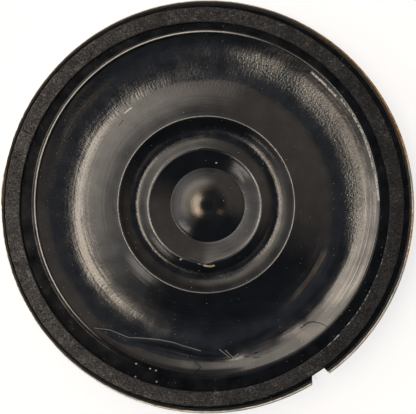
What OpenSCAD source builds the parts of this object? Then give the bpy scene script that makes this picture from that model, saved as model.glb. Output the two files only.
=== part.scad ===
// Miniature moving-coil speaker with a moulded film diaphragm in a pressed steel frame.
// Lengths are in millimetres. The origin is the middle of the yoke's back face, +Z is the front.

/* [Frame] */
// Outside diameter of the frame, over its lip
frame_d = 40; // [38:0.5:46]
// Thickness of the frame's steel sheet
sheet_t = 0.3; // [0.25:0.01:0.35]
// Inside radius of the bends in the sheet
bend_r = 0.2; // [0.1:0.05:0.3]
// Height of the floor's back face over the back of the yoke
floor_z = 1.5; // [1.4:0.05:1.8]
// Length over which the floor's wall climbs outward to the flange
wall_run = 1.4; // [1:0.1:1.6]
// Height of the lip's edge over the flange
lip_h = 0.9; // [0.6:0.05:1]
// Height of the collar that holds the yoke
collar_h = 0.75; // [0.6:0.05:1]

/* [Notch] */
// Direction of the notch, counted anticlockwise from +X as seen from the front
notch_angle = -56.2; // [-80:0.1:-20]
// Width of the notch at its flat bottom
notch_w = 1.4; // [1:0.1:2.5]
// Depth of the notch from the outside of the lip
notch_depth = 0.7; // [0.5:0.05:0.9]
// Flare of the notch's clockwise wall
notch_flare_a = 34; // [5:1:40]
// Flare of the notch's anticlockwise wall
notch_flare_b = 9; // [5:1:40]

/* [Vents] */
// Floor left free on each side of a vent, to the yoke's bead and to the wall
vent_margin = 1.1; // [0.9:0.05:1.4]
// Number of places round the floor, one of which the terminal board takes
vent_places = 8; // [6:1:8]
// Overlap of the damping cloth past the vents
cloth_lap = 0.4; // [0.2:0.05:0.6]
// Thickness of the damping cloth
cloth_t = 0.1; // [0.08:0.01:0.2]

/* [Magnet system] */
// Diameter of the top plate
plate_d = 13.6; // [13:0.1:14.2]
// Thickness of the top plate
plate_t = 0.8; // [0.6:0.05:1]
// Distance by which the top plate stands out past the magnet
plate_overhang = 0.3; // [0.1:0.05:0.6]
// Thickness of the magnet
magnet_t = 1.5; // [1.3:0.05:1.7]
// Radial width of the air gap between the top plate and the yoke
air_gap = 0.8; // [0.75:0.01:0.9]
// Thickness of the yoke's wall
yoke_wall = 0.9; // [0.7:0.05:1]
// Thickness of the yoke's floor
yoke_floor = 0.8; // [0.6:0.05:1]
// Outside radius of the yoke's drawn edge
yoke_edge_r = 0.4; // [0.2:0.05:0.5]
// Thickness of an adhesive layer
glue_t = 0.05; // [0.03:0.01:0.08]
// Width of the adhesive bead round the yoke
bead_w = 0.6; // [0.4:0.05:0.8]
// Radial clearance of the collar on the yoke
collar_clear = 0.02; // [0.01:0.005:0.04]

/* [Voice coil] */
// Radial clearance between the top plate and the former
former_clear = 0.22; // [0.18:0.01:0.25]
// Wall of the paper former
former_t = 0.06; // [0.04:0.01:0.08]
// Radial thickness of the winding
winding_t = 0.2; // [0.16:0.01:0.24]
// Height of the winding
winding_h = 1.4; // [1.2:0.05:1.6]
// Length of bare former below the winding
former_tail = 0.1; // [0.05:0.05:0.15]
// Height and width of the adhesive bead between the former and the film
coil_bead = 0.25; // [0.15:0.05:0.35]
// Clearance between a bead or a winding and the curved piece beside it
wound_clear = 0.01; // [0.005:0.005:0.02]

/* [Diaphragm] */
// Thickness of the film
film_t = 0.08; // [0.06:0.01:0.1]
// Height of the flange's front face over the top plate
film_gap = 1.1; // [1.05:0.05:1.3]
// Width of the film's flat rim, from the outer crest's foot to the edge
rim_w = 2.74; // [2.2:0.02:3]
// Radial clearance between the film's edge and the lip
film_clear = 0.1; // [0.05:0.05:0.2]
// Height of the outer crest over the rim
outer_crest_h = 0.15; // [0.1:0.05:0.25]
// Radial length of the outer crest's steep outer side
crest_foot = 0.15; // [0.1:0.01:0.2]
// Distance from the outer crest at which its slope eases into the wide valley
outer_ease_run = 0.6; // [0.5:0.05:0.8]
// Depth below the rim at which the outer slope eases
outer_ease_depth = 0.28; // [0.2:0.02:0.34]
// Radius of the outer slope's easing
outer_ease_r = 1.2; // [0.8:0.1:1.5]
// Distance of the wide valley's middle from the outer crest
valley_run = 3.1; // [2.8:0.1:3.4]
// Depth below the rim at which the wide valley's slopes would meet
valley_depth = 0.68; // [0.55:0.05:0.8]
// Radius of the wide valley's bottom
valley_bottom_r = 7; // [5:0.5:8]
// Distance from the inner crest at which its slope eases into the wide valley
inner_ease_run = 1.75; // [1.5:0.05:2]
// Depth below the rim at which the inner slope eases
inner_ease_depth = 0.17; // [0.1:0.01:0.25]
// Radius of the inner slope's easing
inner_ease_r = 7; // [4:0.5:8]
// Height of the inner crest over the rim
inner_crest_h = 0.5; // [0.4:0.05:0.55]
// Distance of the inner crest from the coil valley
inner_crest_run = 1.5; // [1.2:0.05:1.7]
// Depth of the coil valley below the rim
coil_valley_depth = 0.25; // [0.15:0.05:0.3]
// Distance of the ridge from the coil valley
ridge_run = 1.6; // [1.4:0.05:1.8]
// Height of the ridge over the rim
ridge_h = 0.15; // [0.05:0.05:0.2]
// Radius of the ridge's rounded top
ridge_round_r = 1.2; // [0.8:0.1:1.4]
// Radius of the coil valley's bottom
coil_valley_bottom_r = 0.5; // [0.3:0.05:0.6]
// Distance of the dome's edge from the ridge
dome_edge_run = 1.85; // [1.6:0.05:2]
// Depth of the dome's edge below the rim
dome_edge_depth = 0.3; // [0.2:0.05:0.3]
// Height of the dome's top over its edge
dome_h = 0.5; // [0.4:0.05:0.6]
// Radius of a sharp crease in the film
crease_r = 0.08; // [0.06:0.01:0.1]
// Width of the slit that parts the flexing surround from the moving middle of the film
film_slit = 0.02; // [0.02:0.005:0.04]

/* [Gasket] */
// Width of the gasket's ring
gasket_w = 1.41; // [1.2:0.01:1.5]
// Thickness of the gasket
gasket_t = 1; // [0.95:0.05:1.2]
// Sideways shift of the gasket from the speaker's axis, as it was glued on
gasket_shift = 0.28; // [0:0.02:0.3]
// Least radial clearance between the gasket and the lip
gasket_clear = 0.1; // [0.05:0.01:0.15]
// Inset of an adhesive ring from the edges of what it holds
adhesive_inset = 0.1; // [0.05:0.05:0.2]

/* [Terminals] */
// Width of the terminal board, along the frame
board_w = 8; // [7.4:0.2:8.6]
// Length of the terminal board, from the collar outward
board_l = 4.6; // [4.4:0.05:4.7]
// Thickness of the terminal board
board_t = 0.6; // [0.5:0.05:0.7]
// Radius of the terminal board's corners
board_corner_r = 0.5; // [0.2:0.1:0.8]
// Clearance between the collar and the terminal board
board_clear = 0.35; // [0.3:0.05:0.4]
// Width of a copper land, along the frame
pad_w = 2.3; // [2:0.1:2.4]
// Length of a copper land, outward
pad_l = 2.8; // [2.4:0.1:3]
// Distance between the middles of the copper lands
pad_pitch = 4.8; // [4.5:0.1:5]
// Thickness of a copper land
pad_t = 0.035; // [0.03:0.005:0.05]
// Radius of a solder joint where it meets its land
solder_r = 0.8; // [0.6:0.05:0.9]
// Height of a solder joint
solder_h = 0.4; // [0.3:0.05:0.4]
// Diameter of a lead wire
lead_d = 0.14; // [0.1:0.01:0.16]
// Clearance of a lead wire in its solder
lead_clear = 0.01; // [0.005:0.005:0.02]
// Width of the slot that lets the leads through the floor
slot_w = 0.9; // [0.8:0.05:1]
// Outside diameter of the board's rivet
rivet_d = 1; // [0.8:0.1:1.2]
// Wall of the hollow rivet
rivet_wall = 0.2; // [0.15:0.05:0.25]
// Overhang of the rivet's rolled heads
rivet_lip = 0.4; // [0.3:0.05:0.5]
// Thickness of the rivet's rolled heads
rivet_head_t = 0.2; // [0.15:0.05:0.3]
// Clearance of the rivet in its holes
rivet_clear = 0.02; // [0.01:0.01:0.05]

/* [Hidden] */
$fn = 96;

// Length that cutting shapes run past what they cut
cut = 1;
// Most of a straight length that one bend may take
bend_share = 0.48;

// Magnet system
plate_r = plate_d / 2;
yoke_bore_r = plate_r + air_gap;
yoke_r = yoke_bore_r + yoke_wall;
magnet_r = plate_r - plate_overhang;
magnet_z = yoke_floor + glue_t;
plate_z = magnet_z + magnet_t + glue_t;
motor_h = plate_z + plate_t;
stack_corner_r = 0.12;

// Frame
frame_r = frame_d / 2;
lip_bore_r = frame_r - sheet_t;
collar_bore_r = yoke_r + collar_clear;
collar_r = collar_bore_r + sheet_t;
floor_front_z = floor_z + sheet_t;
flange_z = motor_h + film_gap;
lip_z = flange_z + lip_h;
mean_bend_r = bend_r + sheet_t / 2;

// Film, front to back through its thickness
rim_z = flange_z + glue_t + film_t / 2;
rim_r = lip_bore_r - film_clear;
crest_foot_r = rim_r - rim_w;
outer_crest_r = crest_foot_r - crest_foot;
valley_r = outer_crest_r - valley_run;
former_bore_r = plate_r + former_clear;
former_r = former_bore_r + former_t;
coil_valley_r = former_r - former_t / 2;
inner_crest_r = coil_valley_r + inner_crest_run;
ridge_r = coil_valley_r - ridge_run;
dome_edge_r = ridge_r - dome_edge_run;
dome_sphere_r = (dome_edge_r * dome_edge_r + dome_h * dome_h) / (2 * dome_h);
dome_slope = asin(dome_edge_r / dome_sphere_r);
dome_round_r = dome_sphere_r - 3 * crease_r;
flange_r = crest_foot_r - crest_foot - wall_run / 8;
floor_r = flange_r - wall_run;

// Voice coil
winding_z = motor_h - plate_t / 2 - winding_h / 2;
winding_r = former_r + winding_t;
former_z = winding_z - former_tail;
coil_valley_z = rim_z - coil_valley_depth - film_t / 2;

// Gasket
gasket_r = lip_bore_r - gasket_clear - gasket_shift;
gasket_bore_r = gasket_r - gasket_w;
gasket_z = flange_z + glue_t + film_t + glue_t;

// Vents
bead_r = collar_r + mean_bend_r + bead_w;
vent_circle_r = (bead_r + floor_r) / 2;
vent_r = (floor_r - bead_r) / 2 - vent_margin;
cloth_bore_r = vent_circle_r - vent_r - cloth_lap;
cloth_r = vent_circle_r + vent_r + cloth_lap;

// Terminals, in the frame of the notch: x outward, y anticlockwise
board_x = collar_r + board_clear;
board_end_x = board_x + board_l;
board_z = floor_z - board_t;
pad_x = board_x + (board_l - pad_l) / 2 - board_corner_r / 2;
lead_r = lead_d / 2;
lead_notch_r = 0.3;
slot_x = board_end_x;
slot_l = pad_pitch + 2 * lead_notch_r - pad_w;
lead_y = (pad_pitch - pad_w) / 2 + lead_notch_r / 2;
lead_x = board_end_x - lead_notch_r + lead_r + lead_clear;
lead_end_z = board_z - pad_t - lead_r - lead_clear - solder_h / 6;
solder_x = pad_x + pad_l - solder_r;
solder_z = board_z - pad_t;
solder_sphere_r = (solder_r * solder_r + solder_h * solder_h) / (2 * solder_h);
rivet_r = rivet_d / 2;
rivet_x = board_x + board_l / 2 - rivet_r;
rivet_hole_r = rivet_r + rivet_clear;

// Direction from one point to the next
function direction(a, b) = (b - a) / norm(b - a);

// A plane direction turned a quarter turn to the left
function left_of(v) = [-v[1], v[0]];

// A plane direction turned by an angle
function turned(v, angle) =
    [v[0] * cos(angle) - v[1] * sin(angle), v[0] * sin(angle) + v[1] * cos(angle)];

// Steps of an arc: finer for a wide turn and for a large radius
function arc_steps(turn, r) = max(3, ceil(turn * sqrt(1 + r) / 12));

// Arc that rounds corner p of a line from a to b to radius r, moved sideways by shift to the left
function bend(a, p, b, r, shift) =
    let (
        into = direction(a, p),
        out = direction(p, b),
        side = sign(cross(into, out)),
        turn = acos(into * out),
        centre = p + direction(into, out) * r / cos(turn / 2),
        steps = arc_steps(turn, r)
    )
    [
        for (i = [0:steps])
            centre - side * (r - side * shift) * turned(left_of(into), side * turn * i / steps)
    ];

// One side of a sheet whose middle line runs through points, with its inner corners bent to radii
function sheet_side(points, radii, shift) =
    let (last = len(points) - 1)
    concat(
        [points[0] + shift * left_of(direction(points[0], points[1]))],
        [for (i = [1:last - 1]) each bend(points[i - 1], points[i], points[i + 1], radii[i - 1], shift)],
        [points[last] + shift * left_of(direction(points[last - 1], points[last]))]
    );

// Radii up to the wished ones that leave each bend room between its neighbours
function fitting(points, radii) =
    [
        for (i = [1:len(points) - 2])
            let (
                into = points[i] - points[i - 1],
                out = points[i + 1] - points[i],
                turn = acos(into * out / norm(into) / norm(out))
            )
            min(radii[i - 1], bend_share * min(norm(into), norm(out)) / tan(turn / 2))
    ];

// A list from its last item to its first
function reversed(list) = [for (i = [len(list) - 1:-1:0]) list[i]];

// A closed outline with its corners rounded to radii
function rounded(points, radii) =
    let (n = len(points))
    [
        for (i = [0:n - 1])
            each radii[i] > 0
                ? bend(points[(i + n - 1) % n], points[i], points[(i + 1) % n], radii[i], 0)
                : [points[i]]
    ];

// Point of a smooth curve through b and c, with a and d beyond them, at share u of the way
function curve_point(a, b, c, d, u) =
    0.5 * (2 * b + (c - a) * u + (2 * a - 5 * b + 4 * c - d) * u * u + (3 * b - a - 3 * c + d) * u * u * u);

// A smooth curve through points, with steps between each two
function smooth_route(points, steps) =
    let (last = len(points) - 1)
    concat(
        [
            for (i = [0:last - 1], k = [0:steps - 1])
                curve_point(
                    points[max(0, i - 1)], points[i], points[i + 1], points[min(last, i + 2)], k / steps)
        ],
        [points[last]]
    );

// Section of a sheet of thickness t
module sheet(points, radii, t) {
    polygon(concat(sheet_side(points, radii, -t / 2), reversed(sheet_side(points, radii, t / 2))));
}

// Ring with a rectangular section
module ring(bore_r, outer_r, z, h) {
    rotate_extrude()
        translate([bore_r, z])
            square([outer_r - bore_r, h]);
}

// Disc whose edges are rounded
module disc(r, z, h, edge_r) {
    rotate_extrude()
        polygon(rounded([[0, z], [r, z], [r, z + h], [0, z + h]], [0, edge_r, edge_r, 0]));
}

// Wire of round section with 8 sides along a route that never runs along Y
module wire(route, r) {
    sides = 8;
    last = len(route) - 1;
    along = [
        for (i = [0:last])
            direction(route[max(0, i - 1)], route[min(last, i + 1)])
    ];
    across = [for (t = along) cross(t, [0, 1, 0]) / norm(cross(t, [0, 1, 0]))];
    rings = [
        for (i = [0:last], k = [0:sides - 1])
            let (turn = 360 * k / sides)
            route[i] + r * (across[i] * cos(turn) + cross(along[i], across[i]) * sin(turn))
    ];
    walls = [
        for (i = [0:last - 1], k = [0:sides - 1])
            let (a = i * sides + k, b = i * sides + (k + 1) % sides)
            each [[a, a + sides, b], [b, a + sides, b + sides]]
    ];
    start = [[for (k = [0:sides - 1]) k]];
    end = [[for (k = [sides - 1:-1:0]) last * sides + k]];
    polyhedron(points = rings, faces = concat(walls, start, end));
}

// Outline of the notch, in the frame of the notch
module notch_outline() {
    bottom = frame_r - notch_depth;
    mouth = notch_depth + cut;
    polygon([
        [bottom, -notch_w / 2],
        [bottom + mouth, -notch_w / 2 - mouth * tan(notch_flare_a)],
        [bottom + mouth, notch_w / 2 + mouth * tan(notch_flare_b)],
        [bottom, notch_w / 2]
    ]);
}

// The notch as a cutting shape
module notch() {
    rotate(notch_angle)
        translate([0, 0, floor_z])
            linear_extrude(lip_z + cut)
                notch_outline();
}

// Slot with round ends, through which the leads pass the floor
module lead_slot(z, h) {
    slot_r = slot_w / 2;
    rotate(notch_angle)
        translate([slot_x, 0, z]) {
            for (y = [-slot_l / 2, slot_l / 2])
                translate([0, y, 0])
                    cylinder(r = slot_r, h = h);
            translate([-slot_r, -slot_l / 2, 0])
                cube([slot_w, slot_l, h]);
        }
}

// Middles of the vents: every place round the floor but the terminal board's
module at_vents() {
    for (i = [1:vent_places - 1])
        rotate(notch_angle + 360 * i / vent_places)
            translate([vent_circle_r, 0, 0])
                children();
}

module frame() {
    collar_mid_r = collar_bore_r + sheet_t / 2;
    floor_mid_z = floor_z + sheet_t / 2;
    flange_mid_z = flange_z - sheet_t / 2;
    lip_mid_r = frame_r - sheet_t / 2;
    line = [
        [collar_mid_r, floor_front_z - collar_h],
        [collar_mid_r, floor_mid_z],
        [floor_r, floor_mid_z],
        [flange_r, flange_mid_z],
        [lip_mid_r, flange_mid_z],
        [lip_mid_r, lip_z]
    ];
    color("#b9ae98")
        difference() {
            rotate_extrude()
                sheet(line, [mean_bend_r, 2 * mean_bend_r, mean_bend_r, mean_bend_r], sheet_t);
            notch();
            at_vents()
                translate([0, 0, floor_z - cut])
                    cylinder(r = vent_r, h = sheet_t + 2 * cut);
            lead_slot(floor_z - cut, sheet_t + 2 * cut);
            rotate(notch_angle)
                translate([rivet_x, 0, floor_z - cut])
                    cylinder(r = rivet_hole_r, h = sheet_t + 2 * cut);
        }
}

module yoke() {
    color("#a8a9a6")
        rotate_extrude()
            polygon(rounded(
                [
                    [0, 0], [yoke_r, 0], [yoke_r, motor_h], [yoke_bore_r, motor_h],
                    [yoke_bore_r, yoke_floor], [0, yoke_floor]
                ],
                [0, yoke_edge_r, stack_corner_r, stack_corner_r, yoke_edge_r / 2, 0]
            ));
}

module yoke_glue_ring() {
    bore_r = yoke_r + wound_clear;
    color("#2b2622")
        rotate_extrude()
            polygon([
                [bore_r, floor_front_z],
                [bead_r, floor_front_z],
                [bore_r, floor_front_z + bead_w]
            ]);
}

module magnet() {
    color("#c9ccd0")
        disc(magnet_r, magnet_z, magnet_t, stack_corner_r);
}

module magnet_glue() {
    color("#7d8f86")
        disc(magnet_r - 2 * adhesive_inset, yoke_floor, glue_t, 0);
}

module plate_glue() {
    color("#7d8f86")
        disc(magnet_r - 2 * adhesive_inset, magnet_z + magnet_t, glue_t, 0);
}

module top_plate() {
    color("#a8a9a6")
        disc(plate_r, plate_z, plate_t, stack_corner_r);
}

module film_adhesive() {
    color("#3a352c")
        ring(
            crest_foot_r + adhesive_inset, min(rim_r, frame_r - notch_depth) - adhesive_inset,
            flange_z, glue_t);
}

// Section of the whole film, from the axis to its edge
module film_section() {
    valley = [
        [inner_crest_r, inner_crest_h],
        [inner_crest_r + inner_ease_run, -inner_ease_depth],
        [valley_r, -valley_depth],
        [outer_crest_r - outer_ease_run, -outer_ease_depth],
        [outer_crest_r, outer_crest_h]
    ];
    centre = [
        [0, dome_h - dome_edge_depth],
        [dome_sphere_r * tan(dome_slope / 2), dome_h - dome_edge_depth],
        [dome_edge_r, -dome_edge_depth],
        [ridge_r, ridge_h],
        [coil_valley_r, -coil_valley_depth]
    ];
    rim = [[crest_foot_r, 0], [rim_r, 0]];
    centre_radii = [dome_round_r, crease_r, ridge_round_r, coil_valley_bottom_r];
    valley_radii = fitting(valley, [inner_ease_r, valley_bottom_r, outer_ease_r]);
    translate([0, rim_z])
        sheet(
            concat(centre, valley, rim),
            concat(centre_radii, [crease_r], valley_radii, [crease_r, crease_r]),
            film_t
        );
}

module diaphragm_dome() {
    color("#15171a")
        rotate_extrude()
            intersection() {
                film_section();
                square([inner_crest_r - film_slit / 2, lip_z + cut]);
            }
}

module diaphragm_surround() {
    color("#15171a")
        difference() {
            rotate_extrude()
                difference() {
                    film_section();
                    square([inner_crest_r + film_slit / 2, lip_z + cut]);
                }
            notch();
        }
}

module gasket_adhesive() {
    color("#3a352c")
        translate([-gasket_shift, 0, 0])
            ring(
                gasket_bore_r + adhesive_inset, gasket_r - adhesive_inset,
                gasket_z - glue_t, glue_t);
}

module gasket() {
    color("#3d3a36")
        translate([-gasket_shift, 0, 0])
            ring(gasket_bore_r, gasket_r, gasket_z, gasket_t);
}

module vent_cloth() {
    color("#2a2826")
        difference() {
            ring(cloth_bore_r, cloth_r, floor_front_z, cloth_t);
            rotate(notch_angle)
                translate([0, -board_w / 2, floor_front_z - cut])
                    cube([cloth_r + cut, board_w, cloth_t + 2 * cut]);
        }
}

module coil_former() {
    color("#c4a57a")
        ring(former_bore_r, former_r, former_z, coil_valley_z - former_z);
}

module voice_coil() {
    color("#b0622e")
        ring(former_r + wound_clear, winding_r, winding_z, winding_h);
}

module coil_glue() {
    bore_r = former_r + wound_clear;
    color("#2b2622")
        rotate_extrude()
            polygon([
                [bore_r, coil_valley_z - coil_bead],
                [bore_r + coil_bead, coil_valley_z],
                [bore_r, coil_valley_z]
            ]);
}

module terminal_board() {
    half = board_w / 2;
    color("#8a6a34")
        rotate(notch_angle)
            difference() {
                translate([0, 0, board_z])
                    linear_extrude(board_t)
                        polygon(rounded(
                            [
                                [board_x, -half], [board_end_x, -half],
                                [board_end_x, half], [board_x, half]
                            ],
                            [for (i = [0:3]) board_corner_r]
                        ));
                for (y = [-lead_y, lead_y])
                    translate([board_end_x, y, board_z - cut])
                        cylinder(r = lead_notch_r, h = board_t + 2 * cut);
                translate([rivet_x, 0, board_z - cut])
                    cylinder(r = rivet_hole_r, h = board_t + 2 * cut);
            }
}

// Places a piece at the positive terminal for side 1 and at the negative one for side -1
module at_terminal(side) {
    rotate(notch_angle)
        mirror([0, side < 0 ? 1 : 0, 0])
            children();
}

module solder_pad(side) {
    low = (pad_pitch - pad_w) / 2;
    high = (pad_pitch + pad_w) / 2;
    color("#c98a5a")
        at_terminal(side)
            translate([0, 0, solder_z])
                linear_extrude(pad_t)
                    polygon(rounded(
                        [[pad_x, low], [pad_x + pad_l, low], [pad_x + pad_l, high], [pad_x, high]],
                        [for (i = [0:3]) board_corner_r]
                    ));
}

module solder_joint(side) {
    color("#c8cacc")
        at_terminal(side)
            difference() {
                intersection() {
                    translate([solder_x, pad_pitch / 2, solder_z - solder_h + solder_sphere_r])
                        sphere(r = solder_sphere_r);
                    translate([solder_x, pad_pitch / 2, solder_z - solder_h])
                        cylinder(r = solder_r, h = solder_h);
                }
                translate([solder_x, pad_pitch / 2, lead_end_z])
                    rotate([0, 90, 0])
                        cylinder(r = lead_r + lead_clear, h = solder_r + cut);
            }
}

module lead_wire(side) {
    over_yoke_z = motor_h + lead_r + film_gap / 8;
    below_film_z = floor_front_z + (motor_h - floor_front_z) / 2;
    coil_x = sqrt(pow(winding_r + lead_clear, 2) - pow(lead_y, 2)) + lead_r / 2;
    span = lead_x - yoke_r;
    end_x = solder_x + lead_clear;
    route = [
        [coil_x, lead_y, over_yoke_z],
        [yoke_r, lead_y, over_yoke_z + lead_r],
        [yoke_r + span / 3, lead_y, over_yoke_z - lead_r],
        [yoke_r + span * 2 / 3, lead_y, over_yoke_z - 4 * lead_r],
        [lead_x - 6 * lead_r, lead_y, below_film_z + 5 * lead_r],
        [lead_x, lead_y, floor_front_z + 2 * lead_r],
        [lead_x, lead_y, floor_z],
        [lead_x, lead_y, board_z + 2 * lead_r],
        [lead_x - lead_r, (lead_y * 3 + pad_pitch / 2) / 4, board_z - pad_t - 2 * lead_r],
        [solder_x + solder_r, pad_pitch / 2 - lead_r, lead_end_z],
        [solder_x + solder_r / 2, pad_pitch / 2, lead_end_z],
        [end_x, pad_pitch / 2, lead_end_z]
    ];
    color("#a9552b")
        at_terminal(side)
            wire(smooth_route(route, 3), lead_r);
}

module board_rivet() {
    bore_r = rivet_r - rivet_wall;
    head_r = rivet_r + rivet_lip;
    back_z = board_z - rivet_head_t;
    front_z = floor_front_z + rivet_head_t;
    edge_r = rivet_head_t / 3;
    color("#b58a4a")
        rotate(notch_angle)
            translate([rivet_x, 0, 0])
                rotate_extrude()
                    polygon(rounded(
                        [
                            [bore_r, back_z], [head_r, back_z], [head_r, board_z], [rivet_r, board_z],
                            [rivet_r, floor_front_z], [head_r, floor_front_z], [head_r, front_z],
                            [bore_r, front_z]
                        ],
                        [edge_r, edge_r, 0, 0, 0, 0, edge_r, edge_r]
                    ));
}

frame();
yoke();
yoke_glue_ring();
magnet();
magnet_glue();
plate_glue();
top_plate();
film_adhesive();
diaphragm_surround();
diaphragm_dome();
gasket_adhesive();
gasket();
vent_cloth();
coil_former();
voice_coil();
coil_glue();
terminal_board();
board_rivet();
solder_pad(1);  // solder_pad_positive
solder_pad(-1);  // solder_pad_negative
solder_joint(1);  // solder_joint_positive
solder_joint(-1);  // solder_joint_negative
lead_wire(1);  // lead_wire_positive
lead_wire(-1);  // lead_wire_negative
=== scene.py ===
"""Looks of a miniature film-diaphragm speaker: its meshes, finishes, light and camera."""
import logging
import math
import random
from dataclasses import dataclass, field
from enum import Enum
from functools import reduce
from typing import Callable, Iterable, Sequence

import bmesh
import bpy
from mathutils import Matrix, Vector, noise
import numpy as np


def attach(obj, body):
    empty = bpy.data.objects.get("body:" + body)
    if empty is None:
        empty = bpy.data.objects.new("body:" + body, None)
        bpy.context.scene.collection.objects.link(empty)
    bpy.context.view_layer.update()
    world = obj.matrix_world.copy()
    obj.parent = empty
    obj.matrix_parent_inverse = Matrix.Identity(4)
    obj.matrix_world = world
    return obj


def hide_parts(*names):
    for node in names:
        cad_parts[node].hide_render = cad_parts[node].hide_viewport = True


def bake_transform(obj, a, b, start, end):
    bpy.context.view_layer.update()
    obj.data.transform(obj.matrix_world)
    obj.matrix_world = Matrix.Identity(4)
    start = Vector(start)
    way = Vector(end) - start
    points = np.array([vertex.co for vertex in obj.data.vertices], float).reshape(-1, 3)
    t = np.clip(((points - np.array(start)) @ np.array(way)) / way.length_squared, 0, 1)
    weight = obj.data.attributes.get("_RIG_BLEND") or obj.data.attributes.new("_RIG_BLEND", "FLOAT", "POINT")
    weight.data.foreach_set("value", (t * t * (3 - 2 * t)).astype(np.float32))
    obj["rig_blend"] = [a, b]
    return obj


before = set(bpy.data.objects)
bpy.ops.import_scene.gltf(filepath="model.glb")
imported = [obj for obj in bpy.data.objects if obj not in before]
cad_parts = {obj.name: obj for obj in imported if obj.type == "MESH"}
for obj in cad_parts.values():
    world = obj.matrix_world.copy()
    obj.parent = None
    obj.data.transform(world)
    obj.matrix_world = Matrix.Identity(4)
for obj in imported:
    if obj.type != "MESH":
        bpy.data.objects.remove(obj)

LOG = logging.getLogger("miniature_speaker")
MM = 0.001
SEED = 11
MERGE = 1e-4  # mm within which points of a new shape are one
SEAM = 5e-4  # the same after a cut
FACET = 9  # degrees by which a face of a rounding turns
SHARP = 60  # degrees above which an edge is softened
CUT = 3  # mm that a cutting shape reaches up
NOTCH_ANGLE = -56.2  # bearing of the notch and the board, in degrees from the photo's right
SOFT = "SMOOTHSTEP"  # how a soft edge goes from one value to the other
EVEN = (1.0, 1.0, 1.0)  # the stretch of a pattern that has none
CREASE = (  # corners of the crease in the film, from the left to below the middle, in mm
    (-10.97, -11.77), (-9.48, -11.96), (-7.63, -12.71), (-6.22, -12.77), (-4.79, -12.91), (-3.37, -13.17),
    (-1.95, -13.63), (-0.67, -13.99))
Point = tuple[float, float]
Socket = bpy.types.NodeSocket


class Body(Enum):
    """The two bodies that pieces ride on."""

    FRAME = "root"
    COIL = "moving_coil"


class Terminal(Enum):
    """The two terminals, and the side of the board's middle line on which each lies."""

    POSITIVE = 1
    NEGATIVE = -1


def linear(code: str) -> tuple[float, float, float, float]:
    """Turn an sRGB hex colour to linear RGBA.

    Args:
        code: six hex digits after a hash sign.

    Returns:
        Red, green, blue and an alpha of 1.
    """
    parts = [int(code[i:i + 2], 16) / 255 for i in (1, 3, 5)]
    toe, slope, offset, gamma = 0.04045, 12.92, 0.055, 2.4
    return (*(p / slope if p <= toe else ((p + offset) / (1 + offset)) ** gamma for p in parts), 1.0)


def smooth(low: float, high: float, value: float) -> float:
    """Rise smoothly from 0 where the value is low to 1 where it is high."""
    share = min(1.0, max(0.0, (value - low) / (high - low)))
    return share * share * (3 - 2 * share)


def band(start: Point, end: Point, value: float) -> float:
    """Give 1 on a stretch that begins softly between two values and ends softly between two more."""
    return smooth(*start, value) * (1 - smooth(*end, value))


def polar(angle: float, radius: float) -> Vector:
    """Give the plane point at an angle in degrees and a radius."""
    return Vector((radius * math.cos(math.radians(angle)), radius * math.sin(math.radians(angle)), 0))


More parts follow.
